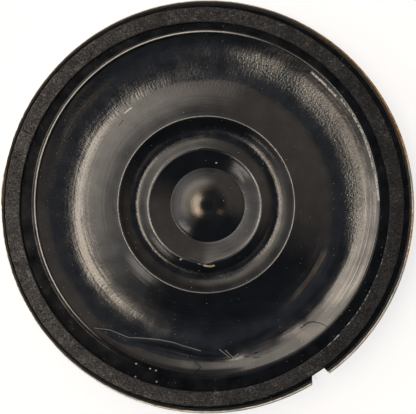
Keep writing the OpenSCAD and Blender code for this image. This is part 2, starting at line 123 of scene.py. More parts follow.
class Mould:
    """A mesh in millimetres while it is being shaped with bmesh operators."""

    def __init__(self) -> None:
        """Start with nothing in the mesh."""
        self.bm = bmesh.new()

    def wire(self, points: list[Point], radii: list[float], step: float, closed: bool = False) -> None:
        """Draw a section in the XZ plane, round its corners and divide its long edges.

        Args:
            points: radius and height of each corner.
            radii: radius of each corner's rounding, 0 for a sharp one.
            step: greatest length of an edge.
            closed: whether the last point joins the first.
        """
        verts = [self.bm.verts.new((r, 0, z)) for r, z in points]
        ends = verts[1:] + ([verts[0]] if closed else [])
        for a, b in zip(verts, ends):
            self.bm.edges.new((a, b))
        places = [Vector(v.co) for v in verts]
        count = len(places)
        for i, radius in enumerate(radii):
            if radius <= 0:
                continue
            into = (places[i] - places[i - 1]).normalized()
            out = (places[(i + 1) % count] - places[i]).normalized()
            turn = into.angle(out)
            bmesh.ops.bevel(
                self.bm, geom=[verts[i]], offset=radius * math.tan(turn / 2), offset_type="OFFSET",
                segments=max(3, math.ceil(math.degrees(turn) * math.sqrt(1 + radius) / FACET)),
                profile=0.5, affect="VERTICES", material=-1)
        for edge in list(self.bm.edges):
            cuts = math.ceil(edge.calc_length() / step) - 1
            if cuts > 0:
                bmesh.ops.subdivide_edges(self.bm, edges=[edge], cuts=cuts)

    def spin(self, steps: int) -> None:
        """Turn the section a full turn about Z, in this many steps, and close it."""
        bmesh.ops.spin(
            self.bm, geom=self.bm.verts[:] + self.bm.edges[:], cent=(0, 0, 0), axis=(0, 0, 1),
            angle=math.tau, steps=steps, use_merge=True)
        self.close()

    def close(self) -> None:
        """Merge doubles and turn the faces outwards."""
        bmesh.ops.remove_doubles(self.bm, verts=self.bm.verts[:], dist=MERGE)
        bmesh.ops.recalc_face_normals(self.bm, faces=self.bm.faces[:])

    def box(self, low: Vector, high: Vector, corner: float = 0.0) -> None:
        """Add a block, with its upright edges rounded.

        Args:
            low: lowest corner.
            high: highest corner.
            corner: radius of the upright edges.
        """
        size = high - low
        made = bmesh.ops.create_cube(
            self.bm, size=1, matrix=Matrix.Translation((low + high) / 2) @ Matrix.Diagonal((*size, 1)))
        if corner:
            upright = {
                e for v in made["verts"] for e in v.link_edges
                if abs(e.verts[0].co.z - e.verts[1].co.z) > size.z / 2}
            bmesh.ops.bevel(
                self.bm, geom=list(upright), offset=corner, offset_type="OFFSET", segments=8, profile=0.5,
                affect="EDGES", material=-1)

    def rod(self, middle: Vector, radius: float, height: float, segments: int) -> None:
        """Add an upright round bar that stands on its middle point."""
        bmesh.ops.create_cone(
            self.bm, cap_ends=True, segments=segments, radius1=radius, radius2=radius, depth=height,
            matrix=Matrix.Translation(middle + Vector((0, 0, height / 2))))

    def soften(self, width: float) -> None:
        """Round the sharp edges over this width."""
        edges = [
            e for e in self.bm.edges
            if len(e.link_faces) == 2 and math.degrees(e.calc_face_angle(0)) > SHARP]
        bmesh.ops.bevel(
            self.bm, geom=edges, offset=width, offset_type="OFFSET", segments=2, profile=0.5,
            affect="EDGES", clamp_overlap=True, material=-1)

    def move(self, change: Callable[[Vector], Vector]) -> None:
        """Move every point to where the change puts it."""
        for vert in self.bm.verts:
            vert.co = change(vert.co.copy())

    def turn(self, angle: float) -> None:
        """Turn the mesh about Z by an angle in degrees."""
        bmesh.ops.transform(
            self.bm, verts=self.bm.verts[:], matrix=Matrix.Rotation(math.radians(angle), 4, "Z"))

    def publish(self, name: str, crease: float = 40.0) -> bpy.types.Object:
        """Make the object in metres, smooth but for its sharp edges.

        Args:
            name: the piece's name.
            crease: least turn of a sharp edge, in degrees.

        Returns:
            The new object.
        """
        bmesh.ops.transform(self.bm, verts=self.bm.verts[:], matrix=Matrix.Scale(MM, 4))
        mesh = bpy.data.meshes.new(name)
        self.bm.to_mesh(mesh)
        self.bm.free()
        mesh.shade_smooth()
        mesh.set_sharp_from_angle(angle=math.radians(crease))
        obj = bpy.data.objects.new(name, mesh)
        bpy.context.scene.collection.objects.link(obj)
        return obj


def bake(obj: bpy.types.Object) -> Mould:
    """Apply an object's modifiers and take its mesh back for more shaping.

    Args:
        obj: the object, which is removed.

    Returns:
        A mould with the finished mesh, in millimetres.
    """
    graph = bpy.context.evaluated_depsgraph_get()
    mesh = bpy.data.meshes.new_from_object(obj.evaluated_get(graph), depsgraph=graph)
    mould = Mould()
    mould.bm.from_mesh(mesh)
    bmesh.ops.transform(mould.bm, verts=mould.bm.verts[:], matrix=Matrix.Scale(1 / MM, 4))
    bpy.data.meshes.remove(mesh)
    bpy.data.objects.remove(obj)
    return mould


def carve(mould: Mould, cutters: list[Mould]) -> Mould:
    """Cut shapes out of a mesh.

    Args:
        mould: the mesh to cut.
        cutters: closed shapes that are taken away.

    Returns:
        The cut mesh.
    """
    obj = mould.publish("blank")
    tools = []
    for cutter in cutters:
        cutter.close()
        tool = cutter.publish("cutter")
        tools.append(tool)
        modifier = obj.modifiers.new("cut", "BOOLEAN")
        modifier.operation = "DIFFERENCE"
        modifier.solver = "EXACT"
        modifier.object = tool
    cut = bake(obj)
    for tool in tools:
        bpy.data.objects.remove(tool)
    bmesh.ops.remove_doubles(cut.bm, verts=cut.bm.verts[:], dist=SEAM)
    bmesh.ops.dissolve_degenerate(cut.bm, edges=cut.bm.edges[:], dist=SEAM)
    return cut


def thicken(mould: Mould, thickness: float) -> Mould:
    """Give a surface a wall, half on each side.

    Args:
        mould: the surface.
        thickness: the wall.

    Returns:
        The closed shell.
    """
    obj = mould.publish("surface")
    modifier = obj.modifiers.new("wall", "SOLIDIFY")
    modifier.thickness = thickness * MM
    modifier.offset = 0
    modifier.use_even_offset = True
    return bake(obj)


def tube(name: str, routes: list[list[Vector]], radius: float, sides: int) -> bpy.types.Object:
    """Sweep a round section along smooth routes and make one mesh of them.

    Args:
        name: the piece's name.
        routes: points of each route, in millimetres.
        radius: radius of the section.
        sides: resolution of the section, from 0 for four sides.

    Returns:
        The new object.
    """
    curve = bpy.data.curves.new(name, "CURVE")
    curve.dimensions = "3D"
    curve.bevel_depth = radius * MM
    curve.bevel_resolution = sides
    curve.use_fill_caps = True
    curve.resolution_u = 3
    for route in routes:
        spline = curve.splines.new("NURBS")
        spline.points.add(len(route) - 1)
        for point, place in zip(spline.points, route):
            point.co = (*(place * MM), 1)
        spline.order_u = 4
        spline.use_endpoint_u = True
    source = bpy.data.objects.new(name + "_curve", curve)
    bpy.context.scene.collection.objects.link(source)
    graph = bpy.context.evaluated_depsgraph_get()
    mesh = bpy.data.meshes.new_from_object(source.evaluated_get(graph), depsgraph=graph)
    bpy.data.objects.remove(source)
    mesh.name = name
    mesh.shade_smooth()
    obj = bpy.data.objects.new(name, mesh)
    bpy.context.scene.collection.objects.link(obj)
    return obj


class Sheet:
    """A node tree, to which nodes are added one at a time."""

    def __init__(self, owner: bpy.types.Material | bpy.types.World) -> None:
        """Clear the nodes of a material or world and keep its tree."""
        owner.use_nodes = True
        self.tree = owner.node_tree
        self.tree.nodes.clear()

    def add(self, kind: str, *values, **named) -> Socket | None:
        """Add a node with its settings, values and links.

        Args:
            kind: the node's type, without its ShaderNode prefix.
            values: value or source of each of the first inputs.
            named: the same for other inputs, or, with a name in small letters, a setting of the node.

        Returns:
            The node's first output in use, or None at the end of a tree.
        """
        node = self.tree.nodes.new("ShaderNode" + kind)
        for name in filter(str.islower, named):
            setattr(node, name, named[name])
        others = [(name, value) for name, value in named.items() if not name.islower()]
        for key, value in [*enumerate(values), *others]:
            if isinstance(value, Socket):
                self.tree.links.new(value, node.inputs[key])
            else:
                node.inputs[key].default_value = value
        return next((output for output in node.outputs if output.enabled), None)

    def ramp(self, source: Socket, stops: Sequence[tuple[float, str]]) -> Socket:
        """Turn a value to a colour between stops.

        Args:
            source: the value.
            stops: place and hex colour of each stop.

        Returns:
            The colour.
        """
        colour = self.add("ValToRGB", source)
        elements = colour.node.color_ramp.elements
        while len(elements) < len(stops):
            elements.new(1.0)
        for element, (place, code) in zip(elements, stops):
            element.position = place
            element.color = linear(code)
        return colour

    def weigh(self, parts: Iterable[tuple[Socket, float]], total: Socket | float = 0.0) -> Socket:
        """Add values with their weights.

        Args:
            parts: each value and its weight.
            total: what they are added to.

        Returns:
            The sum.
        """
        for source, weight in parts:
            total = self.add("Math", source, weight, total, operation="MULTIPLY_ADD")
        return total

    def around(self, place: Socket, centre: Point = (0, 0)) -> tuple[Socket, Socket]:
        """Measure round an upright axis.

        Args:
            place: place on the piece, in millimetres.
            centre: where the axis stands.

        Returns:
            The distance from the axis, and the direction away from it.
        """
        flat = self.add("VectorMath", place, (1, 1, 0), operation="MULTIPLY")
        flat = self.add("VectorMath", flat, (*centre, 0), operation="SUBTRACT")
        return tuple(self.add("VectorMath", flat, operation=kind) for kind in ("LENGTH", "NORMALIZE"))

    def sector(self, out: Socket, bearing: float, low: float, high: float, to: Point = (0, 1),
               blend: str = "LINEAR") -> Socket:
        """Go over from one value to another where the cosine of the angle off a bearing is low to high."""
        facing = self.add("VectorMath", out, polar(bearing, 1), operation="DOT_PRODUCT")
        return self.add("MapRange", facing, low, high, to[0], to[1], interpolation_type=blend)

    def ring(self, radius: Socket, start: Point, end: Point) -> Socket:
        """Give 1 on a ring that begins softly between two radii and ends softly between two more."""
        rise, fall = (
            self.add("MapRange", radius, near, far, low, 1 - low, interpolation_type=SOFT)
            for near, far, low in ((*start, 0), (*end, 1)))
        return self.add("Math", rise, fall, operation="MULTIPLY")

    def stripe(self, radius: Socket, middle: float, core: float, edge: float, most: float = 1.0) -> Socket:
        """Draw a thin line round a piece.

        Args:
            radius: distance from the middle of the piece.
            middle: radius of the line.
            core: distance from the line at which it begins to fade.
            edge: distance at which it ends.
            most: the line's strength.

        Returns:
            The strength.
        """
        off = self.add("Math", radius, middle, operation="SUBTRACT")
        off = self.add("Math", off, operation="ABSOLUTE")
        return self.add("MapRange", off, core, edge, most, 0.0)

    def specks(self, place: Socket, layers: Iterable[Point]) -> Socket:
        """Scatter round specks of many sizes.

        Args:
            place: place on the piece, in millimetres.
            layers: scale, and radius of the largest speck, of each layer.

        Returns:
            How much the specks cover.
        """
        marks = []
        for scale, largest in layers:
            cell = self.add("TexVoronoi", Vector=place, Scale=scale, voronoi_dimensions="2D").node.outputs
            draw = self.add("SeparateXYZ", cell["Color"]).node.outputs
            size = self.add("MapRange", draw[0], 0.6, 1.0, 0.001, largest)
            size = self.add("Math", size, scale, operation="MULTIPLY")
            shade = self.add("MapRange", draw[1], 0.0, 1.0, 0.1, 0.75)
            marks.append(self.add("MapRange", cell["Distance"], 0.0, size, shade, 0.0))
        return reduce(lambda a, b: self.add("Math", a, b, operation="MAXIMUM"), marks)


@dataclass(frozen=True)
class Finish:
    """What every finish has: a name, and the slot that it stands for.

    Patterns are read in mm, so a scale is how many of their lengths go to one. Grain, fibres and dust
    are drawn a little coarser than real ones, so that they show at the photo's size.
    """

    name: str
    slot: str

    def surface(self, sheet: Sheet, place: Socket) -> dict:
        """Draw the pattern and give the shader's inputs.

        Args:
            sheet: the material's nodes.
            place: place on the piece, in millimetres.

        Returns:
            Value or source of each input of the shader, with the relief's height, in mm, as Height.
        """
        raise NotImplementedError

    def material(self) -> bpy.types.Material:
        """Make the material.

        Returns:
            The new material.
        """
        material = bpy.data.materials.new(self.name)
        sheet = Sheet(material)
        where = sheet.add("TexCoord").node.outputs["Object"]
        made = self.surface(sheet, sheet.add("VectorMath", where, Scale=1 / MM, operation="SCALE"))
        made["Normal"] = sheet.add("Bump", Strength=1.0, Distance=MM, Height=made.pop("Height"))
        sheet.add("OutputMaterial", sheet.add("BsdfPrincipled", **made))
        return material

    def dress(self, obj: bpy.types.Object) -> None:
        """Put the finish on a piece."""
        obj.data.materials.clear()
        obj.data.materials.append(bpy.data.materials.get(self.name) or self.material())


@dataclass(frozen=True)
class PolyesterFilm(Finish):
    """Black polyester film, drawn hot over a turned mould.

    It is a smooth dielectric of IOR 1.65, so it mirrors the room softly at about 6 percent. The mould's
    turning marks leave fine rings, the drawing leaves short streaks across them, and handling leaves
    scratches and dust. Painted highlights lie as pale lines along its crests and folds, a painted golden
    glint sits on the ridge below the middle, and the reflection on the dome top has a painted warm tint.
    Lines are corners in mm; a crest is a radius and its middle.
    """

    centre: Point = (-0.1, 0.24)
    white_lines: tuple = (
        CREASE, ((1.17, -13.87), (2.17, -14.66)), ((1.75, -13.95), (2.6, -14.75)),
        ((2.45, -14.7), (3.02, -14.3)))
    dark_lines: tuple = (
        ((-1.24, -15.0), (-0.67, -15.58), (-1.24, -16.15)), ((3.6, -14.55), (4.0, -14.55)),
        ((4.5, -14.65), (5.1, -14.6)), ((4.6, -14.2), (4.85, -14.15)),
        ((9.03, -11.79), (9.79, -11.22), (10.37, -11.16), (11.04, -11.34), (11.63, -11.63)),
        ((-8.6, 7.9), (-8.2, 8.4)))
    bright_specks: tuple = (
        ((-6.94, -15.22), (-6.90, -15.22)), ((-5.59, -15.7), (-5.55, -15.7)),
        ((-5.02, -15.87), (-4.98, -15.87)), ((-7.01, -16.48), (-6.97, -16.48)),
        ((-4.96, -16.96), (-4.92, -16.96)), ((0.83, 4.26), (0.87, 4.26)),
        ((-2.66, -5.11), (-2.54, -5.08)), ((-8.05, 9.1), (-7.4, 9.62)))
    # painted reflection: a golden glint drawn into the colour on the ridge's pip
    pip: tuple = (((-0.3, -5.69), (-0.05, -5.76), (0.36, -5.77), (0.62, -5.70)),)
    patch: tuple = (((-2.2, -15.35), (-1.7, -15.4)),)
    # painted glints: pale lines along the folds of the outer crest at the right
    fold_glints: tuple = (
        ((10.11, 13.05), (11.37, 11.89), (12.44, 10.73)),
        ((12.96, 10.42), (13.98, 9.14), (15.05, 7.18), (15.73, 5.23), (16.31, 2.98), (16.6, 0.66)))
    outer_crest: tuple = (16.69, (-0.08, 0.34))
    inner_crest: tuple = (8.56, (-0.12, 0.22))
    ridge: tuple = (5.47, (-0.26, 0.10))
    areas: tuple = (  # radii where each begins and ends; its bearing, and the cosines of its sides
        ((12.6, 14.2), (15.0, 15.7), 30, 0.62, 0.9), ((13.9, 14.4), (15.2, 15.8), -30, 0.2, 0.8),
        ((15.0, 15.7), (16.4, 16.7), 45, 0.72, 0.96), ((16.35, 16.55), (16.85, 16.95), 180, -0.2, 0.3))

    def surface(self, sheet: Sheet, place: Socket) -> dict:
        """Draw rings, streaks, grain, scratches, dust and painted highlights; see Finish.surface."""
        add = sheet.add
        radius, out = sheet.around(place, self.centre)
        streaks, rings, lines = (
            add("TexNoise", Vector=self.along(sheet, out, radius, turns, drift), Scale=1.0, Detail=detail)
            for turns, drift, detail in ((70.0, 2.4, 3.0), (0.8, 5.0, 3.0), (1.6, 12.0, 2.0)))
        drawn, turned, flat_rim = (
            add("MapRange", radius, low, high, interpolation_type=SOFT)
            for low, high in ((9.5, 12.0), (0.5, 2.2), (16.74, 17.0)))
        upper_left = sheet.sector(out, 120, -0.75, -0.2, blend=SOFT)
        coarse, arc, brow, crest = (
            add("Math", sheet.ring(radius, start, end), sheet.sector(out, bearing, low, high, blend=SOFT),
                operation="MULTIPLY") for start, end, bearing, low, high in self.areas)
        top = sheet.ring(radius, (-2.0, -1.0), (1.6, 2.4))
        coil_valley = sheet.ring(radius, (5.9, 6.4), (8.2, 8.5))
        grain, swell = (add("TexNoise", Vector=place, Scale=scale, Detail=2.0) for scale in (6.5, 0.7))
        white, dark, bright, patch, fold_glints, pip = (
            self.line_marks(sheet, place, corners, width) for corners, width in (
                (self.white_lines, 0.05), (self.dark_lines, 0.07), (self.bright_specks, 0.1),
                (self.patch, 0.5), (self.fold_glints, 0.14), (self.pip, 0.12)))
        jagged = add("MapRange", grain, 0.42, 0.55, 0.15, 1.0)
        worked = add("Math", 1.0, flat_rim, operation="SUBTRACT")
        streaks, rings, lines, grainy, scuffed, fold_glints = (
            add("Math", pattern, where, operation="MULTIPLY") for pattern, where in (
                (add("Math", streaks, drawn, operation="MULTIPLY"), upper_left), (rings, turned),
                (lines, turned), (grain, coarse), (grain, coil_valley), (fold_glints, jagged)))
        height = sheet.weigh([
            (streaks, 0.010), (rings, 0.006), (lines, 0.0018), (grain, 0.0025), (grainy, 0.019),
            (scuffed, 0.006), (white, 0.01)])
        gloss = add("MapRange", radius, 3.3, 3.7, 0.55, 0.5)
        gloss = sheet.weigh([
            (gloss, 1.0), (top, -0.21), (coil_valley, -0.19), (arc, -0.15), (brow, -0.26), (crest, -0.34),
            (flat_rim, -0.34), (dark, -0.45), (swell, 0.3)], -0.15)
        dust = sheet.specks(place, ((0.55, 0.045), (1.3, 0.05)))
        # painted highlights: pale lines along the crests, where they catch the light
        crest_highlights = self.paint_crest_highlights(sheet, place, rings)
        # pale colour: dust and scratches, with painted highlights along the crests and folds
        pale = add("Math", sheet.weigh([(white, 0.3), (patch, 0.05), (fold_glints, 0.95)], crest_highlights), dust,
                   operation="MAXIMUM")
        pale = add("Clamp", sheet.weigh([(bright, 0.8)], pale))
        colour = sheet.ramp(swell, [(0.3, "#0a0b0d"), (0.7, "#0f1012")])
        # the pip's gold is a painted reflection of a warm light
        for share, code in ((pale, "#e8e4dc"), (pip, "#dcc596")):
            colour = add("Mix", Factor=share, A=colour, B=linear(code), data_type="RGBA")
        # painted warm tint of the reflections on the dome top
        tint = add("Mix", Factor=top, A=linear("#ffffff"), B=linear("#fff5e8"), data_type="RGBA")
        return {
            "Base Color": colour, "IOR": 1.65, "Specular IOR Level": add("Clamp", gloss),
            "Specular Tint": tint,
            "Roughness": sheet.weigh([(streaks, 0.08), (swell, 0.10), (white, 0.2)], 0.05),
            "Height": add("Math", height, worked, operation="MULTIPLY")}

    def paint_crest_highlights(self, sheet: Sheet, place: Socket, patchy: Socket) -> Socket:
        """Paint highlights as pale lines along the film's crests, strongest on the sides that face the
        light.

        Args:
            sheet: the material's nodes.
            place: place on the film.
            patchy: a pattern that breaks the lines up.

        Returns:
            Share of the painted highlight.
        """
        marks = []
        for (crest, middle), width, bearing, low, high, amount in (
                (self.outer_crest, 0.08, 150, 0.12, 0.6, 1.2), (self.outer_crest, 0.05, 22, 0.6, 0.97, 0.4),
                (self.inner_crest, 0.06, 170, -0.9, 0.3, 0.45), (self.inner_crest, 0.06, 0, 0.2, 0.8, 0.4),
                (self.ridge, 0.08, 180, 0.2, 0.8, 0.4), (self.ridge, 0.08, 0, 0.3, 0.9, 0.35)):
            radius, out = sheet.around(place, middle)
            line = sheet.stripe(radius, crest, width * 0.4, width, amount)
            side = sheet.sector(out, bearing, low, high)
            marks.append(sheet.add("Math", line, side, operation="MULTIPLY"))
        broken = sheet.add("MapRange", patchy, 0.3, 0.6, 0.7, 1.0)
        total = reduce(lambda a, b: sheet.add("Math", a, b), marks)
        return sheet.add("Math", total, broken, operation="MULTIPLY")

    @staticmethod
    def along(sheet: Sheet, out: Socket, radius: Socket, turns: float, drift: float) -> Socket:
        """Give a pattern place that runs round the film without a seam.

        Args:
            sheet: the material's nodes.
            out: direction from the middle.
            radius: distance from the middle, in millimetres.
            turns: pattern lengths for each radian round the film.
            drift: pattern lengths for each millimetre outwards.

        Returns:
            The place to read the pattern at.
        """
        rise = sheet.add("Math", radius, drift, operation="MULTIPLY")
        way = sheet.add("VectorMath", out, Scale=turns, operation="SCALE")
        return sheet.add("VectorMath", way, sheet.add("CombineXYZ", Z=rise), operation="ADD")

    @staticmethod
    def line_marks(sheet: Sheet, place: Socket, lines: tuple, width: float) -> Socket:
        """Give 1 on thin lines and 0 beside them.

        Args:
            sheet: the material's nodes.
            place: place on the film.
            lines: the corners of each line.
            width: distance from a line's middle at which it ends.

        Returns:
            The mark's strength.
        """
        add = sheet.add
        flat = add("VectorMath", place, (1, 1, 0), operation="MULTIPLY")
        marks = []
        for start, end in (pair for line in lines for pair in zip(line, line[1:])):
            stretch = Vector((*end, 0)) - Vector((*start, 0))
            here = add("VectorMath", flat, (*start, 0), operation="SUBTRACT")
            share = add("VectorMath", here, stretch / stretch.length_squared, operation="DOT_PRODUCT")
            near = add("VectorMath", stretch, Scale=add("Clamp", share), operation="SCALE")
            gap = add("VectorMath", here, near, operation="DISTANCE")
            marks.append(add("MapRange", gap, 0.0, width, 1.0, 0.0))
        return reduce(lambda a, b: add("Math", a, b, operation="MAXIMUM"), marks)


@dataclass(frozen=True)
class GasketBoard(Finish):
    """Grey-brown paper board, die-cut from waste-fibre sheet.

    Matt and fibrous: short light and dark fibres lie in all directions. Painted light makes it a little
    paler towards the left, and painted glints lie on its edges at the upper left and lower right.
    """

    def surface(self, sheet: Sheet, place: Socket) -> dict:
        """Draw felted fibres, painted light and painted glints; see Finish.surface."""
        add = sheet.add
        warp = add("TexNoise", Vector=place, Scale=2.2, Detail=2.0).node.outputs["Color"]
        bent = add("VectorMath", warp, (0.9, 0.9, 0.9), place, operation="MULTIPLY_ADD")
        laid = (add("Mapping", Vector=bent, Rotation=(0, 0, turn), Scale=(2.2, 11.0, 4.0))
                for turn in (0.5, -0.9))
        one, other = (add("TexNoise", Vector=way, Scale=1.0, Detail=3.0) for way in laid)
        felt = add("Math", one, other, operation="MAXIMUM")
        blotch = add("TexNoise", Vector=place, Scale=0.55, Detail=3.0)
        lint = add("TexNoise", Vector=place, Scale=8.0, Detail=2.0, Roughness=0.7)
        across, _, depth = add("SeparateXYZ", place).node.outputs
        # painted light: the board grows paler towards the left, where the light falls
        left = add("MapRange", across, 19.0, -17.0, -0.085, 0.09)
        mixed = sheet.weigh([(felt, 0.75), (blotch, 0.3), (lint, 0.9), (left, 1.0)], -0.442)
        colour = sheet.ramp(
            mixed, [(0.40, "#141517"), (0.55, "#313030"), (0.68, "#4e4c4a"), (0.86, "#858079")])
        # painted glints on the edges of the upper face, in a pale colour
        edge_glint_share, above = self.paint_edge_glints(sheet, place), add("MapRange", depth, 5.22, 5.36)
        edge_glint_share = add("Math", edge_glint_share, above, operation="MULTIPLY")
        return {
            "Base Color": add("Mix", Factor=edge_glint_share, A=colour, B=linear("#cfc8bd"), data_type="RGBA"),
            "Roughness": 0.85, "Specular IOR Level": 0.35,
            "Height": sheet.weigh([(felt, 0.07), (one, 0.03), (lint, 0.05)])}

    @staticmethod
    def paint_edge_glints(sheet: Sheet, place: Socket) -> Socket:
        """Paint pale glints on the edges that face the light: upper left outside, lower right in the bore.

        Args:
            sheet: the material's nodes.
            place: place on the board.

        Returns:
            Share of the painted glints.
        """
        add = sheet.add
        radius, out = sheet.around(place, (Gasket.shift, 0))
        glint_specks = sheet.specks(place, ((0.9, 0.16), (2.1, 0.06)))
        glint_streaks = add("TexNoise", Vector=place, Scale=2.6, Detail=2.0)
        glint_streaks = add("MapRange", glint_streaks, 0.5, 0.62)
        marks = []
        for pattern, bearing, low, high, edge, reach in (
                (glint_specks, 140, 0.2, 0.7, 19.25, 0.2), (glint_streaks, -30, 0.92, 0.97, 17.92, 0.09)):
            side, line = sheet.sector(out, bearing, low, high), sheet.stripe(radius, edge, reach / 2, reach)
            mark = add("Math", side, line, operation="MULTIPLY")
            marks.append(add("Math", mark, pattern, operation="MULTIPLY"))
        return add("Math", *marks)


@dataclass(frozen=True)
class TinPlate(Finish):
    """Tin-plated steel sheet, pressed and trimmed, with age.

    Bright warm grey metal with dull patches. The trimmed lip is painted near-black but for a bright line at
    its edge, wider towards the lower right, and that line has gone gold to orange-brown where the tin is
    lost. Rust is given as bearing, reach in degrees and amount.
    """

    rust: tuple = ((38, 24, 1.0), (-6, 9, 0.8), (175, 4, 0.9), (196, 6, 0.35), (262, 8, 0.3))

    def surface(self, sheet: Sheet, place: Socket) -> dict:
        """Draw dull patches, the darkened lip and edge rust; see Finish.surface."""
        add = sheet.add
        radius, out = sheet.around(place)
        cloud, fine, mid = (
            add("TexNoise", Vector=place, Scale=scale, Detail=detail)
            for scale, detail in ((0.45, 4.0), (5.0, 3.0), (1.6, 3.0)))
        height_mm = add("SeparateXYZ", place).node.outputs["Z"]
        rim = add("MapRange", height_mm, 3.6, 5.0, interpolation_type=SOFT)
        patches = (
            sheet.sector(out, angle, *(math.cos(math.radians(reach * part)) for part in (1.6, 0.5)),
                         (0, amount)) for angle, reach, amount in self.rust)
        rust = reduce(lambda a, b: add("Math", a, b, operation="MAXIMUM"), patches)
        rust = add("Math", rust, rim, operation="MULTIPLY")
        rust = sheet.weigh([(rust, 0.5), (mid, 0.9), (fine, 0.35)])
        rust = add("MapRange", rust, 0.84, 1.12)
        # the lip is painted near-black inside a bright line at its edge, wider towards the lower right
        bright_line_edge = sheet.weigh([(mid, 0.08)], sheet.sector(out, -40, -0.1, 0.7, (19.91, 19.79)))
        inside = add("Math", bright_line_edge, radius, operation="SUBTRACT")
        lip_dark = add("MapRange", inside, 0.0, 0.06, 0.0, 0.97)
        lip_dark = add("Math", lip_dark, rim, operation="MULTIPLY")
        rust = add("Math", rust, sheet.weigh([(lip_dark, -0.9)], 1.0), operation="MULTIPLY")
        colour = sheet.ramp(cloud, [(0.3, "#b2afa9"), (0.5, "#bfbcb5"), (0.7, "#b6b1a7")])
        stain = sheet.ramp(fine, [(0.3, "#6b3c12"), (0.5, "#a8701f"), (0.7, "#d9b45e")])
        for share, cover in ((lip_dark, linear("#0f0d0b")), (rust, stain)):
            colour = add("Mix", Factor=share, A=colour, B=cover, data_type="RGBA")
        return {
            "Base Color": colour,
            "Metallic": add("Clamp", sheet.weigh([(rust, -0.65), (lip_dark, -0.9)], 1.0)),
            "Roughness": sheet.weigh([(rust, 0.35), (cloud, 0.25), (fine, 0.12), (lip_dark, 0.3)], 0.14),
            "Height": sheet.weigh([(fine, 0.006), (rust, 0.01)])}


@dataclass(frozen=True)
class PlatedSteel(Finish):
    """Plated steel or magnet, pressed or ground.

    Grey metal with a soft bloom, faint rings from drawing and small dull spots.
    """

    pale: str
    dark: str
    rough: float

    def surface(self, sheet: Sheet, place: Socket) -> dict:
        """Draw the bloom and the rings; see Finish.surface."""
        flat = sheet.add("VectorMath", place, (1, 1, 0.3), operation="MULTIPLY")
        turn = sheet.add("CombineXYZ", X=sheet.add("VectorMath", flat, operation="LENGTH"))
        rings, cloud, fine = (
            sheet.add("TexNoise", Vector=where, Scale=scale, Detail=detail)
            for where, scale, detail in ((turn, 7.0, 3.0), (place, 0.6, 5.0), (place, 6.0, 3.0)))
        return {
            "Base Color": sheet.ramp(cloud, [(0.35, self.dark), (0.6, self.pale)]), "Metallic": 1.0,
            "Roughness": sheet.weigh([(cloud, 0.22), (fine, 0.12), (rings, 0.08)], self.rough),
            "Height": sheet.weigh([(rings, 0.004), (fine, 0.005)])}


@dataclass(frozen=True)
class VentCloth(Finish):
    """Black cotton damping cloth, plain woven.

    Matt, with threads 0.24 mm apart that catch a little light on their crowns.
    """

    pitch: float = 0.24

    def surface(self, sheet: Sheet, place: Socket) -> dict:
        """Draw the weave; see Finish.surface."""
        add = sheet.add
        way = add("SeparateXYZ", place).node.outputs
        phases = [add("Math", way[axis], math.tau / self.pitch, operation="MULTIPLY") for axis in "XY"]
        waves = [add("Math", phase, operation="SINE") for phase in phases]
        crown = add("Math", *waves, operation="MULTIPLY")
        lift = add("MapRange", crown, -1.0, 1.0)
        fuzz = add("TexNoise", Vector=place, Scale=9.0, Detail=3.0)
        mixed = sheet.weigh([(lift, 0.6), (fuzz, 0.5)])
        return {
            "Base Color": sheet.ramp(mixed, [(0.25, "#0f0e0d"), (0.6, "#24211f"), (0.9, "#3a3632")]),
            "Roughness": 0.9, "Sheen Weight": 0.15, "Height": sheet.weigh([(lift, 0.05), (fuzz, 0.02)])}


@dataclass(frozen=True)
class Mottled(Finish):
    """A small part's finish, which a few noise patterns make uneven.

    A pattern is its stretch, scale and detail, and its share in the colour, the roughness and the relief.
    """

    stops: tuple
    rough: float
    patterns: tuple
    metal: float = 0.0
    coat: float = 0.0

    def surface(self, sheet: Sheet, place: Socket) -> dict:
        """Draw the patterns; see Finish.surface."""
        drawn = []
        for stretch, scale, detail, *_ in self.patterns:
            where = sheet.add("Mapping", Vector=place, Scale=stretch)
            drawn.append(sheet.add("TexNoise", Vector=where, Scale=scale, Detail=detail))
        tone, dull, relief = (zip(drawn, shares) for shares in list(zip(*self.patterns))[3:])
        return {
            "Base Color": sheet.ramp(sheet.weigh(tone), self.stops), "Metallic": self.metal,
            "Roughness": sheet.weigh(dull, self.rough), "Coat Weight": self.coat,
            "Height": sheet.weigh(relief)}


@dataclass(frozen=True)
class Wound(Mottled):
    """A finish with the turns of a winding, one above the other."""

    pitch: float = 0.1

    def surface(self, sheet: Sheet, place: Socket) -> dict:
        """Draw the turns over the patterns; see Finish.surface."""
        up = sheet.add("SeparateXYZ", place).node.outputs["Z"]
        phase = sheet.add("Math", up, math.tau / self.pitch, operation="MULTIPLY")
        wave = sheet.add("Math", phase, operation="SINE")
        return {**super().surface(sheet, place), "Height": sheet.weigh([(wave, 0.02)])}


def tarnish(grain: float) -> tuple:
    """Give the patterns of a small bare metal piece: cloudy tarnish and a fine grain of this height."""
    return (EVEN, 2.2, 4.0, 1.0, 0.2, grain), (EVEN, 9.0, 2.0, 0.0, 0.15, grain)


ENAMEL = (((0.3, "#7d3a1c"), (0.7, "#b5652f")), 0.3, ((EVEN, 1.6, 3.0, 1.0, 0.0, 0.0),), 1.0, 0.6)
LUMPS = ((EVEN, 1.8, 3.0, 1.0, 0.0, 0.06),)
FILM = PolyesterFilm("black_polyester_film", "film")
BOARD = GasketBoard("grey_fibre_board", "gasket_board")
TIN = TinPlate("aged_tinplate", "tinned_steel")
ZINC = PlatedSteel("zinc_plated_steel", "plated_steel", "#b9bbb9", "#a3a5a3", 0.08)
NICKEL = PlatedSteel("nickel_plated_magnet", "magnet_plate", "#d4d2cd", "#aaa8a3", 0.0)
CLOTH = VentCloth("woven_damping_cloth", "cloth")
